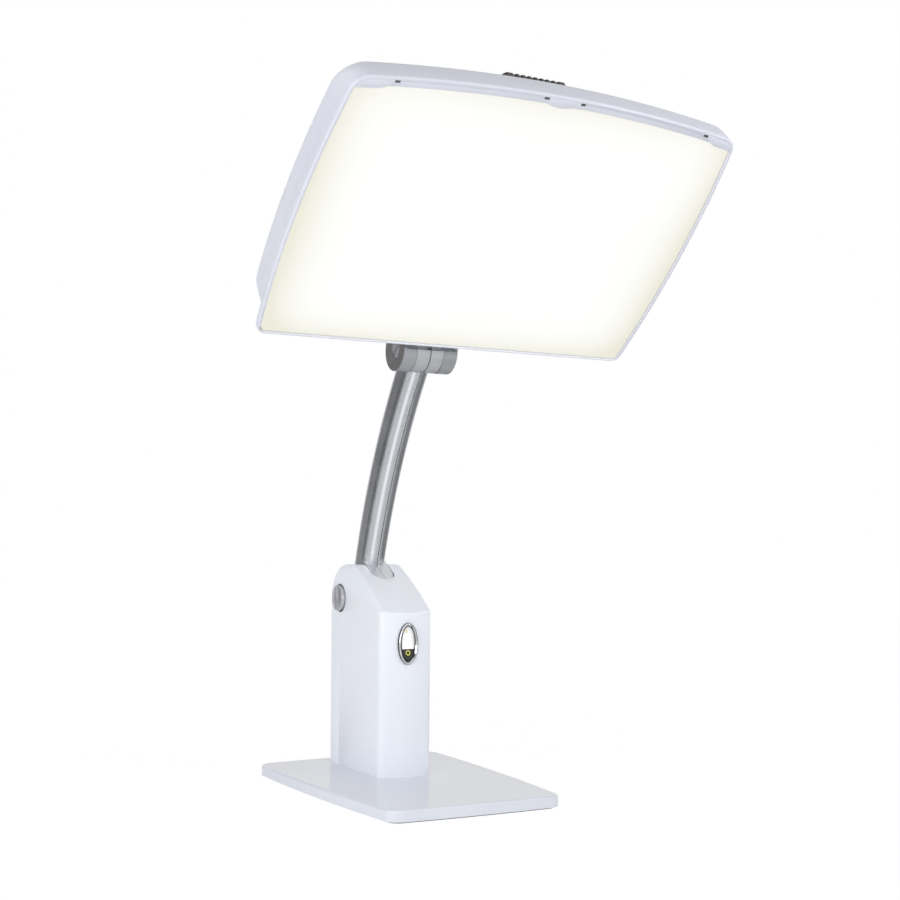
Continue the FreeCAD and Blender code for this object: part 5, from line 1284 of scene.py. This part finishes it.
    def build_gap_shade(self) -> Piece:
        """A dark grey strip behind the gap round the screen, painted shade for the gap, and the painted-shade
        blocks at the latches' notches.

        Returns:
            The painted shade, as one piece.
        """
        front, back = (self.mouth_depth + depth for depth in self.shade_depths)
        outside, inside = self.gap + self.shade_reach, self.shade_inside
        rings = [self.form.ring(depth, outside, self.rim_low_edge(outside)) for depth in (front, back)]
        rings += [self.form.ring(depth, -inside, inside) for depth in (back, front)]
        ends = (self.middle_tab + self.notch_half, self.corner_tab_ends()[0] - self.notch_half)
        notch_shades = [self.build_notch_shade(side.value * end) for end in ends for side in Side]
        gap_shade = join(loft(rings, closed=True), *notch_shades)
        smooth(gap_shade, self.crease)
        return settle(gap_shade, "screen_gap_shade", self.form.frame())

    def build_diffuser(self) -> Piece:
        """The opal screen, with softened edges.

        Returns:
            The screen.
        """
        bend = self.screen_round
        levels = [(0.0, self.screen_back)] + arc((-bend, self.screen_front + bend), bend, 0, -1, 4)
        sheet = loft([self.form.ring(depth, grow, -grow) for grow, depth in levels])
        smooth(sheet, self.screen_crease)
        return settle(sheet, "opal_screen", self.form.frame())

    def build_shell_form(self, inset: float) -> Piece:
        """The rear shell's form, closed at both ends and shrunk by an inset.

        Args:
            inset: The inset.

        Returns:
            The form.
        """
        back, grow, low = self.shell_back - inset, self.shell_grow - inset, self.shell_low + inset
        front = self.shell_front - (self.shell_lap if inset else 0.0)
        straight, bend, bend_rise = self.shell_side
        bend_drop, *drops = self.shell_drops
        controls = [Vector((front, grow, low, 0)), Vector((straight, grow, low, 0))]
        controls.append(Vector((bend, grow, low + bend_rise, bend_drop)))
        for narrow, rise, drop in zip(self.shell_insets, self.shell_rises, drops):
            controls.append(Vector((back, grow - narrow, low + rise, drop)))
        levels = spline(controls, self.shell_steps)
        count = len(levels) - 1
        return loft(
            [self.form.ring(*level, self.corner_spread * index / count) for index, level in enumerate(levels)]
        )

    def build_spine_form(self, inset: float) -> Piece:
        """The raised bar down the back, rounded lengthways and run out at its lower end.

        Args:
            inset: How far it is shrunk.

        Returns:
            The bar.
        """
        low, top, deepest = self.spine_low + inset, self.spine_top - inset, self.spine_back - inset
        rings = []
        for share in self.spine_shares:
            back = deepest - self.spine_fall * (1 - math.sqrt(1 - (1 - share) ** 2))
            rings.append(self.spine_ring(low + self.spine_run * share, inset, back))
        rings.append(self.spine_ring(top, inset, deepest))
        return loft(rings)

    def spine_ring(self, up: float, inset: float, back: float) -> list[Vector]:
        """One cross section of the spine.

        Args:
            up: How high up the panel it is.
            inset: How far it is shrunk.
            back: How far back it reaches.

        Returns:
            Its points.
        """
        half, start, bend = self.spine_half - inset, self.spine_start - inset * 2, self.spine_round - inset
        corners = [Vector(point) for point in ((-half, start), (-half, back), (half, back), (half, start))]
        arcs = [fillet(*corners[index : index + 3], bend, self.spine_steps) for index in (0, 1)]
        return [Vector((point.x, up, -point.y)) for point in (corners[0], *arcs[0], *arcs[1], corners[3])]

    def build_rear_shell(self) -> Piece:
        """The hollow rear shell with its spine, the neck's doorway and the vent's opening.

        Returns:
            The shell.
        """
        shell = self.build_shell_form(0.0)
        combine(shell, Work.UNITE, self.build_spine_form(0.0))
        doorway = block(
            (-self.door_half, 0.0, -self.door_back),
            (self.door_half, self.spine_low + self.door_height, -self.door_front),
        )
        vent = block(
            (-self.vent_half, self.spine_top - self.vent_start, -self.spine_back),
            (self.vent_half, self.vent_top, -self.vent_front),
        )
        hollow = self.build_shell_form(self.wall), self.build_spine_form(self.wall)
        combine(shell, Work.CUT, *hollow, doorway, vent)
        smooth(shell, self.shell_crease)
        return settle(shell, "shell_moulding", self.form.frame())

    def build(self, shop: FinishShop) -> None:
        """Models the outside of the panel.

        Args:
            shop: The finishes.
        """
        form = self.form
        screen = LitDiffuser(
            "lit_screen",
            (253, 253, 252),
            (232, 230, 214),
            0.5,
            origin=form.origin,
            lean=form.turn,
            half_width=form.bottom_half,
            height=form.middle_height,
        )
        shop.hand_in(self.build_bezel(), WHITE_PANEL, Body.PANEL, "front_bezel")
        shop.hand_in(self.build_diffuser(), screen, Body.PANEL, "diffuser")
        shop.hand_in(self.build_rear_shell(), WHITE_PANEL, Body.PANEL, "rear_shell")
        # Painted shade: the dark strip in the gap round the screen and the dark blocks at the latches'
        # notches.
        shop.hand_in(self.build_gap_shade(), GAP_SHADE_GREY, Body.PANEL)


@dataclass(frozen=True)
class Column:
    """The upright column: its front shell and its rear cover, with soft edges."""

    half_width: float = 30.5 * MM
    front: float = 3 * MM
    crown: float = 5 * MM
    back: float = 140 * MM
    foot: float = 13 * MM
    shoulder: float = 185.4 * MM
    ridge: float = 82.5 * MM
    top: float = 235 * MM
    slope_bulge: float = 2.1 * MM
    shoulder_round: float = 2.5 * MM
    least_round: float = 0.4 * MM
    ridge_round: float = 14 * MM
    back_round: float = 37.5 * MM
    edge_round: float = 5.6 * MM
    edge_inset: float = 0.7
    edge_steps: int = 8
    front_steps: int = 6
    shoulder_steps: int = 4
    slope_shares: tuple[float, ...] = (0.15, 0.3, 0.45, 0.6, 0.75, 0.9)
    ridge_steps: int = 6
    top_steps: int = 2
    back_round_steps: int = 16
    back_steps: int = 8
    face_shares: tuple[float, ...] = (0.75, 0.5, 0.25, 0.0, -0.25, -0.5, -0.75)
    soft_edge: float = 0.35 * MM
    crease: float = 34.0
    beyond: float = 10 * MM
    pivot_cutter: float = 100 * MM
    switch_cutter: float = 40 * MM
    jack_cutter: float = 20 * MM
    far: float = 300 * MM
    wall: float = 2.6 * MM
    seam: float = 112.5 * MM
    seam_gap: float = 0.3 * MM
    slot_half: float = 14 * MM
    slot_front: float = 55.2 * MM
    slot_floor: float = 211.5 * MM
    slot_height: float = 60 * MM
    pivot_height: float = 197.5 * MM
    pivot_hole: float = 15.7 * MM
    switch_height: float = 153.5 * MM
    switch_half_long: float = 20.25 * MM
    switch_half_wide: float = 9.75 * MM
    jack_height: float = 29 * MM
    jack_radius: float = 4.1 * MM

    def side_outline(self, inset: float, across: float) -> list[Vector]:
        """The side outline, y and z, from the foot up the front and down the back.

        Args:
            inset: How far it is shrunk.
            across: How far from the middle it is taken, as the front face is crowned.

        Returns:
            The outline's points.
        """
        front = self.front + self.crown * (across / self.half_width) ** 2 + inset
        back, top = self.back - inset, self.top - inset
        slope = Vector((self.ridge - self.front, self.top - self.shoulder)).normalized()
        square = Vector((-slope.y, slope.x))
        start = Vector((self.front, self.shoulder)) - square * inset
        foot = Vector((front, self.foot))
        shoulder = Vector((front, start.y + (front - start.x) * slope.y / slope.x))
        ridge = Vector((start.x + (top - start.y) * slope.x / slope.y, top))
        back_top = Vector((back, top))
        back_foot = Vector((back, self.foot))
        ridge_arc = fillet(shoulder, ridge, back_top, self.ridge_round - inset, self.ridge_steps)
        back_arc = fillet(ridge, back_top, back_foot, self.back_round - inset, self.back_round_steps)
        points = [foot] + between_points(foot, shoulder, self.front_steps)
        shoulder_round = max(self.shoulder_round - inset, self.least_round)
        points += fillet(foot, shoulder, ridge, shoulder_round, self.shoulder_steps)
        slope_start = points[-1]
        for share in self.slope_shares:
            bulge = square * (4 * self.slope_bulge * share * (1 - share))
            points.append(slope_start.lerp(ridge_arc[0], share) + bulge)
        points += ridge_arc + between_points(ridge_arc[-1], back_arc[0], self.top_steps)
        points += back_arc + between_points(back_arc[-1], back_foot, self.back_steps)
        return points + [back_foot]

    def build_form(self, inset: float) -> Piece:
        """The column's form, shrunk by an inset: side outlines from the left face to the right one.

        Args:
            inset: The inset.

        Returns:
            The form.
        """
        bend = self.edge_round - inset * self.edge_inset
        half = self.half_width - inset
        edge = arc((half - bend, bend), bend, 0, -1, self.edge_steps)
        middle = [((half - bend) * share, 0.0) for share in self.face_shares]
        drop = self.beyond if inset else 0.0
        rings = []
        for x, shrink in edge + middle + [(-x, shrink) for x, shrink in reversed(edge)]:
            outline = self.side_outline(inset + shrink, x)
            outline[0].y -= drop
            outline[-1].y -= drop
            rings.append([Vector((x, *point)) for point in outline])
        return loft(rings)

    def build_slot(self) -> Piece:
        """The arm's slot: open at the back and the top, round at the front.

        Returns:
            The slot, as a solid.
        """
        start = self.slot_front + self.slot_half
        middle = (0, start, self.slot_floor + self.slot_height / 2)
        slot = cylinder(self.slot_half, self.slot_height, middle)
        end = (self.slot_half, self.back + self.beyond, self.slot_floor + self.slot_height)
        combine(slot, Work.UNITE, block((-self.slot_half, start, self.slot_floor), end))
        return slot

    def build_body(self) -> Piece:
        """The whole column, hollow, with its openings.

        Returns:
            The column.
        """
        body = self.build_form(0.0)
        flat = (QUARTER, 0, 0)
        oval = (self.switch_half_wide, self.switch_half_long, 1.0)
        pivot = (0, self.seam, self.pivot_height)
        combine(
            body,
            Work.CUT,
            self.build_form(self.wall),
            self.build_slot(),
            cylinder(self.pivot_hole, self.pivot_cutter, pivot, (0, QUARTER, 0), sides=96),
            cylinder(1.0, self.switch_cutter, (0, 0, self.switch_height), flat, oval, sides=72),
            cylinder(self.jack_radius, self.jack_cutter, (0, self.back, self.jack_height), flat),
        )
        return body

    def build(self, shop: FinishShop) -> None:
        """Models both mouldings of the column.

        Args:
            shop: The finishes.
        """
        far = self.far
        halves = (
            ("column_front_moulding", "column_front_shell", -far, self.seam - self.seam_gap / 2),
            ("column_rear_moulding", "column_rear_cover", self.seam + self.seam_gap / 2, far),
        )
        for name, node, low_y, high_y in halves:
            piece = self.build_body()
            combine(piece, Work.KEEP, block((-far, low_y, -far), (far, high_y, far)))
            soften(piece, self.soft_edge)
            smooth(piece, self.crease)
            shop.hand_in(settle(piece, name), WHITE_SATIN, Body.STAND, node)


@dataclass(frozen=True)
class Switch:
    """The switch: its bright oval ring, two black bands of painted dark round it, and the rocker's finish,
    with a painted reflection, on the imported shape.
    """

    middle: float = 153.5 * MM
    half_tall: float = 21.75 * MM
    half_wide: float = 11.25 * MM
    ring_width: float = 3.3 * MM
    ring_front: float = 0.4 * MM
    ring_round: float = 1.3 * MM
    ring_steps: int = 8
    lip_depth: float = 1.6 * MM
    sleeve_wall: float = 1.7 * MM
    sleeve_back: float = 14 * MM
    face: float = 3 * MM
    sunk: tuple[float, float] = (0.05 * MM, 0.02 * MM)
    bevels: Triple = (0.5 * MM, 0.3 * MM, 0.4 * MM)
    # Black bands: round the ring's foot a painted dark reflection of its outer wall, inside its lip painted
    # shade round the rocker.
    foot_band: Triple = (-0.35 * MM, -0.1 * MM, 0.4 * MM)
    foot_band_depths: tuple[float, float] = (2.3 * MM, 1.6 * MM)
    lip_band: Triple = (0.4 * MM, 0.25 * MM, 0.5 * MM)
    lip_band_front: tuple[float, float] = (0.35 * MM, 0.25 * MM)
    column_half: float = 30.5 * MM
    column_crown: float = 5 * MM
    oval_points: int = 96
    line_drop: float = 5.6 * MM
    mark_drop: float = 9.6 * MM
    mark_radius: float = 2.2 * MM
    dot_rise: float = 13.2 * MM
    dot_shift: float = -1.6 * MM
    crease: float = 38.0

    def oval(self, inset: float, y: float, follow: bool = False) -> list[Vector]:
        """An upright oval, shrunk by an inset.

        Args:
            inset: How far it is shrunk.
            y: Its depth.
            follow: Whether it follows the crown of the column's face.

        Returns:
            The oval's points.
        """
        points = []
        for across, up in arc((0, 0), 1.0, 0, 4, self.oval_points)[:-1]:
            x, z = (self.half_wide - inset) * across, self.middle + (self.half_tall - inset) * up
            crown = self.column_crown * (x / self.column_half) ** 2 if follow else 0.0
            points.append(Vector((x, y + crown, z)))
        return points

    def skin(self, section: Sequence[tuple]) -> Piece:
        """A closed oval skin through a section: rows of inset, depth and whether it follows the face."""
        return loft([self.oval(*row) for row in section], closed=True)

    def build_ring(self) -> Piece:
        """The bright ring, with the sleeve that goes through the column's wall.

        Returns:
            The ring.
        """
        sleeve, bend, front = self.ring_width - self.sleeve_wall, self.ring_round, self.ring_front
        seat = self.face - self.sunk[0]
        land, run, drop = self.bevels
        lip = front + self.lip_depth
        section = [(0.0, seat, True), *arc((bend, front + bend), bend, 2, 3, self.ring_steps)]
        section += [(bend + land, front + self.sunk[0]), (self.ring_width - run, lip)]
        section += [(self.ring_width, lip + drop), (self.ring_width, self.sleeve_back)]
        section += [(sleeve, self.sleeve_back), (sleeve, seat, True)]
        ring = self.skin(section)
        smooth(ring, self.crease)
        return settle(ring, "switch_ring")

    def build_switch_shades(self) -> Piece:
        """Two black bands: one round the ring's foot, a painted dark reflection of its outer wall, and one
        inside its lip, painted shade round the rocker.

        Returns:
            Both bands, as one piece.
        """
        seat = self.face - self.sunk[1]
        outside, shoulder, inside = self.foot_band
        low, high = self.foot_band_depths
        foot = [(outside, seat, True), (outside, low), (shoulder, high), (inside, high), (inside, seat, True)]
        lip = self.ring_front + self.lip_depth
        cover, overlap, depth = self.lip_band
        outer, inner, back = self.ring_width - cover, self.ring_width + overlap, lip + depth
        outer_front, inner_front = (lip - rise for rise in self.lip_band_front)
        lip_shade = [(outer, back), (outer, outer_front), (inner, inner_front), (inner, back)]
        shade_bands = join(self.skin(foot), self.skin(lip_shade))
        smooth(shade_bands, self.crease)
        return settle(shade_bands, "switch_shade_bands")

    def build(self, frame: dict, shop: FinishShop) -> None:
        """Models the ring and its bands of painted dark, and paints the rocker, with a painted white
        reflection on its upper part.

        Args:
            shop: The finishes.
        """
        shop.hand_in(self.build_ring(), BRIGHT_PLATE, Body.STAND, "switch_bezel")
        # painted dark reflection at the ring's foot and painted shade inside its lip
        shop.hand_in(self.build_switch_shades(), SWITCH_SHADE_BLACK, Body.STAND)
        rocker = RockerPaintedReflection(
            "rocker_painted_reflection",
            (16, 16, 17),
            # the painted white reflection above the line
            (252, 252, 252),
            line=self.middle - self.line_drop,
            ring_centre=Vector((0, 0, self.middle - self.mark_drop)),
            ring_radius=self.mark_radius,
            dot_centre=Vector((self.dot_shift, 0, self.middle + self.dot_rise)),
        )
        shop.paint(frame["nodes"]["switch_rocker"], rocker)


@dataclass(frozen=True)
class ArmSeam:
    """The dark joint line between the arm's two half shells, and round its knuckles."""

    centre: tuple[float, float] = (-557.004 * MM, 30.574 * MM)
    low_degrees: float = 16.6
    high_degrees: float = 37.4
    radius: float = 690 * MM
    reach: float = 19.75 * MM
    half_width: float = 0.42 * MM
    sink: float = 0.22 * MM
    depth: float = 1.6 * MM
    steps: int = 48
    hinge: tuple[float, float] = (-23.19 * MM, 458.24 * MM)
    knuckle_radius: float = 22.15 * MM
    knuckle_share: float = 0.9

    def section(self, half: float, outer: float, inner: float) -> list[tuple[float, float]]:
        """The four corners of the line's section, as x and radius."""
        return [(-half, outer), (half, outer), (half, inner), (-half, inner)]

    def strip(self, outer: float, inner: float) -> Piece:
        """A thin strip along the arm's curve, between two radii.

        Args:
            outer: The radius of its face.
            inner: The radius of its back.

        Returns:
            The strip.
        """
        rings = []
        for step in range(self.steps + 1):
            turn = math.radians(self.low_degrees + (self.high_degrees - self.low_degrees) * step / self.steps)
            way = Vector((0, math.cos(turn), math.sin(turn)))
            corners = self.section(self.half_width, outer, inner)
            rings.append([Vector((x, *self.centre)) + way * radius for x, radius in corners])
        return loft(rings)

    def knuckle_line(self) -> Piece:
        """A thin ring round the knuckles, where the two halves meet.

        Returns:
            The ring.
        """
        outer = self.knuckle_radius
        corners = self.section(self.knuckle_share * self.half_width, outer, outer - self.depth)
        return loft([circle_x(x, self.hinge, radius, 2 * self.steps) for x, radius in corners], closed=True)

    def build(self, shop: FinishShop) -> None:
        """Models the joint line.

        Args:
            shop: The finishes.
        """
        front = self.radius - self.reach + self.sink
        back = self.radius + self.reach - self.sink
        strips = self.strip(front, front + self.depth), self.strip(back, back - self.depth)
        line = settle(join(*strips, self.knuckle_line()), "arm_seam")
        shop.hand_in(line, SEAM_DARK, Body.ARM)


@dataclass(frozen=True)
class PivotCap:
    """A silver cap on the end of the pivot shaft, with a coin slot across its domed face."""

    side: Side
    radius: float = 14 * MM
    disc_thickness: float = 7 * MM
    hub_radius: float = 10 * MM
    chamfer: float = 0.3 * MM
    edge_round: float = 0.9 * MM
    dome_radius: float = 90 * MM
    slot_half: float = 3.25 * MM
    slot_depth: float = 2.2 * MM
    edge_steps: int = 6
    dome_shares: Triple = (0.75, 0.5, 0.25)
    soft_edge: float = 0.2 * MM
    crease: float = 34.0
    pivot: tuple[float, float] = (112.5 * MM, 197.5 * MM)
    round_points: int = 80

    def sag(self, radius: float) -> float:
        """How far the dome has fallen at a radius."""
        return self.dome_radius - math.sqrt(self.dome_radius**2 - radius**2)

    def build(self, shop: FinishShop) -> None:
        """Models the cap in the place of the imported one.

        Args:
            shop: The finishes.
        """
        word, sign = self.side.name.lower(), self.side.value
        hub_start, outer = sorted(sign * corner.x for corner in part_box("pivot_cap_" + word))
        disc_start = outer - self.disc_thickness
        crest = self.radius - self.edge_round
        section = [(hub_start, self.hub_radius), (disc_start, self.hub_radius)]
        section += [(disc_start, self.radius - self.chamfer), (disc_start + self.chamfer, self.radius)]
        edge = (outer - self.sag(crest) - self.edge_round, crest)
        section += arc(edge, self.edge_round, 1, 0, self.edge_steps)
        section += [(outer - self.sag(crest * share), crest * share) for share in self.dome_shares]
        cap = loft([circle_x(sign * x, self.pivot, radius, self.round_points) for x, radius in section])
        y, z = self.pivot
        low_x, high_x = sorted((sign * (outer - self.slot_depth), sign * (outer + self.radius)))
        low = (low_x, y - self.slot_half, z - 2 * self.radius)
        combine(cap, Work.CUT, block(low, (high_x, y + self.slot_half, z + 2 * self.radius)))
        soften(cap, self.soft_edge)
        smooth(cap, self.crease)
        settle(cap, "coin_cap_" + word)
        shop.hand_in(cap, CAP_SATIN, Body.STAND, "pivot_cap_" + word)


# ---------- the studio
@dataclass(frozen=True)
class Placed:
    """What lamps and cards share: a name, a place, the point that they face, and a size."""

    name: str
    place: Triple
    aim: Triple
    width: float
    height: float

    def stand(self, piece: Piece, face: str) -> None:
        """Puts a piece in its place, with one of its axes towards the aim.

        Args:
            piece: The lamp or the card.
            face: The axis.
        """
        piece.location = self.place
        way = Vector(self.aim) - Vector(self.place)
        piece.rotation_euler = way.to_track_quat(face, "Y").to_euler()


@dataclass(frozen=True)
class AreaLamp(Placed):
    """A soft box."""

    watts: float
    tint: Triple = (0.97, 0.98, 1.0)
    spread_degrees: float = 180.0

    def build(self) -> None:
        """Hangs the lamp."""
        data = bpy.data.lights.new(self.name, "AREA")
        data.shape = "RECTANGLE"
        data.size = self.width
        data.size_y = self.height
        data.energy = self.watts
        data.color = self.tint
        data.spread = math.radians(self.spread_degrees)
        lamp = bpy.data.objects.new(self.name, data)
        bpy.context.scene.collection.objects.link(lamp)
        self.stand(lamp, "-Z")


@dataclass(frozen=True, kw_only=True)
class Flag(Placed):
    """A card that only shiny surfaces see, or one that keeps the room's light off from above."""

    shades: bool = False
    tone: int = 18
    cloud: int = 6
    glow: float = 0.0

    def build(self) -> None:
        """Stands the card."""
        pick()
        bpy.ops.mesh.primitive_plane_add(size=1)
        card = bpy.context.object
        card.name = self.name
        card.scale = (self.width, self.height, 1.0)
        self.stand(card, "Z")
        card.visible_diffuse = self.shades
        card.visible_glossy = not self.shades
        card.visible_camera = card.visible_shadow = card.visible_transmission = False
        tree = FinishTree(self.name)
        first, second = ((tone, tone, tone + 1) for tone in (self.tone, self.tone + self.cloud))
        tree.drive("Base Color", tree.blend(tree.noise(3.0), first, second))
        tree.fix(Roughness=0.95, Specular_IOR_Level=0.0)
        if self.glow:
            tree.fix(Emission_Color=(250, 252, 255), Emission_Strength=self.glow)
        card.data.materials.append(tree.material)


@dataclass
class Studio:
    """The camera, the pale floor, the lamps, the cards and the world."""

    camera_place: Vector = field(default_factory=lambda: Vector((-0.6527, -1.3166, 0.266)))
    view_way: Vector = field(default_factory=lambda: Vector((0.4695, 0.8829, 0.0)))
    lens_mm: float = 56.0
    sensor_mm: float = 36.0
    shift_up: float = 0.0967
    roll_degrees: float = 0.45
    ambient: float = 0.74
    mirrored: float = 0.86
    floor_size: float = 14.0
    floor_veil: float = 0.955
    floor_glow: float = 1.02
    lamps: tuple[AreaLamp, ...] = (
        AreaLamp("front_soft_box", (-0.95, -2.1, 0.42), (0.0, 0.0, 0.3), 1.2, 0.8, 6.0),
        AreaLamp("left_soft_box", (-2.3, -0.5, 0.5), (0.0, 0.0, 0.3), 1.2, 0.8, 12.0),
        AreaLamp("rim_spot", (1.0, -1.4, 1.2), (0.26, -0.28, 0.68), 0.2, 0.2, 0.17, spread_degrees=34.0),
        AreaLamp("edge_strip", (-1.5, -1.5, 0.4), (0.0, 0.0, 0.35), 0.5, 1.3, 4.2, (1.0, 1.0, 1.0)),
        AreaLamp("right_soft_box", (1.5, -1.5, 1.1), (0.1, -0.2, 0.5), 0.8, 0.8, 8.0),
    )
    flags: tuple[Flag, ...] = (
        Flag("left_flag", (-1.15, 0.7, 0.5), (0.0, 0.05, 0.4), 2.3, 1.7, tone=120),
        Flag("right_flag", (1.3, -0.9, 0.5), (0.0, 0.0, 0.4), 1.3, 1.4),
        Flag("floor_flag", (0.95, 0.15, 0.004), (0.95, 0.15, 1.0), 1.2, 1.2, tone=158),
        Flag("floor_glint", (-0.27, -0.36, 0.004), (-0.27, -0.36, 1.0), 0.2, 0.5, tone=200, glow=1.1),
        Flag("ceiling_card", (0.0, -0.3, 1.8), (0.0, -0.3, 0.0), 2.4, 2.6, shades=True),
    )

    def set_camera(self) -> None:
        """Stands the camera where the view is taken from."""
        data = bpy.data.cameras.new("camera")
        data.lens = self.lens_mm
        data.sensor_width = self.sensor_mm
        data.shift_y = self.shift_up
        data.clip_end = 50.0
        camera = bpy.data.objects.new("camera", data)
        bpy.context.scene.collection.objects.link(camera)
        forward = self.view_way.normalized()
        right = forward.cross(Vector((0, 0, 1))).normalized()
        basis = Matrix((right, right.cross(forward), -forward)).transposed().to_4x4()
        roll = Matrix.Rotation(math.radians(self.roll_degrees), 4, "Z")
        camera.matrix_world = Matrix.Translation(self.camera_place) @ basis @ roll
        bpy.context.scene.camera = camera

    def lay_floor(self) -> None:
        """Lays a pale floor that shows white, and keeps the lamp's soft shadow."""
        pick()
        bpy.ops.mesh.primitive_plane_add(size=self.floor_size, location=(0, 0, 0))
        floor = bpy.context.object
        floor.name = "studio_floor"
        tree = FinishTree("studio_floor")
        tree.drive("Base Color", tree.blend(tree.noise(2.0), (250, 250, 250), (252, 252, 252)))
        tree.fix(Roughness=0.9, Specular_IOR_Level=0.0)
        glow = tree.add("Emission", {"Strength": self.floor_glow})
        seen = tree.add("LightPath", {}).outputs["Is Camera Ray"]
        mix = tree.add("MixShader", {"Fac": tree.maths("MULTIPLY", seen, self.floor_veil)})
        for socket, shader in zip(mix.inputs[1:], (tree.shader, glow)):
            tree.links.new(shader.outputs[0], socket)
        tree.links.new(mix.outputs[0], tree.nodes["Material Output"].inputs["Surface"])
        floor.data.materials.append(tree.material)

    def light_world(self) -> None:
        """Fills the room with even light, and shows it white to the camera and to shiny surfaces."""
        world = bpy.data.worlds.new("studio_world")
        bpy.context.scene.world = world
        world.use_nodes = True
        nodes, links = world.node_tree.nodes, world.node_tree.links
        nodes.clear()
        room = nodes.new("ShaderNodeBackground")
        room.inputs["Color"].default_value = (1.0, 1.0, 1.0, 1.0)
        rays = nodes.new("ShaderNodeLightPath").outputs
        strength = None
        for ray, level in (("Camera", 1.0), ("Transmission", 1.0), ("Glossy", self.mirrored)):
            step = nodes.new("ShaderNodeMath")
            step.operation = "MULTIPLY_ADD"
            links.new(rays[f"Is {ray} Ray"], step.inputs[0])
            step.inputs[1].default_value = level - self.ambient
            step.inputs[2].default_value = self.ambient
            if strength is not None:
                links.new(strength, step.inputs[2])
            strength = step.outputs[0]
        links.new(strength, room.inputs["Strength"])
        links.new(room.outputs[0], nodes.new("ShaderNodeOutputWorld").inputs["Surface"])

    def build(self) -> None:
        """Sets everything up."""
        bpy.context.scene.view_settings.view_transform = "Standard"
        self.set_camera()
        self.lay_floor()
        self.light_world()
        for piece in self.lamps + self.flags:
            piece.build()
        log.info("studio ready: %d lamps, %d cards", len(self.lamps), len(self.flags))


def dress_nodes(frame: dict, shop: FinishShop) -> None:
    """Paints every CAD node; those without a finish of their own are plain steel.

    Args:
        shop: The finishes.
    """
    for name, node in frame["nodes"].items():
        shop.paint(node, NODE_FINISHES.get(name, SCREW_STEEL))


def main() -> None:
    """Builds the lamp's looks, piece by piece."""
    logging.basicConfig(level=logging.INFO, format="%(name)s: %(message)s")
    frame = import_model()
    shop = FinishShop()
    dress_nodes(frame, shop)
    LightPanel().build(shop)
    Column().build(shop)
    Switch().build(frame, shop)
    ArmSeam().build(shop)
    for side in Side:
        PivotCap(side).build(shop)
    Studio().build()


if __name__ == "__main__":
    main()
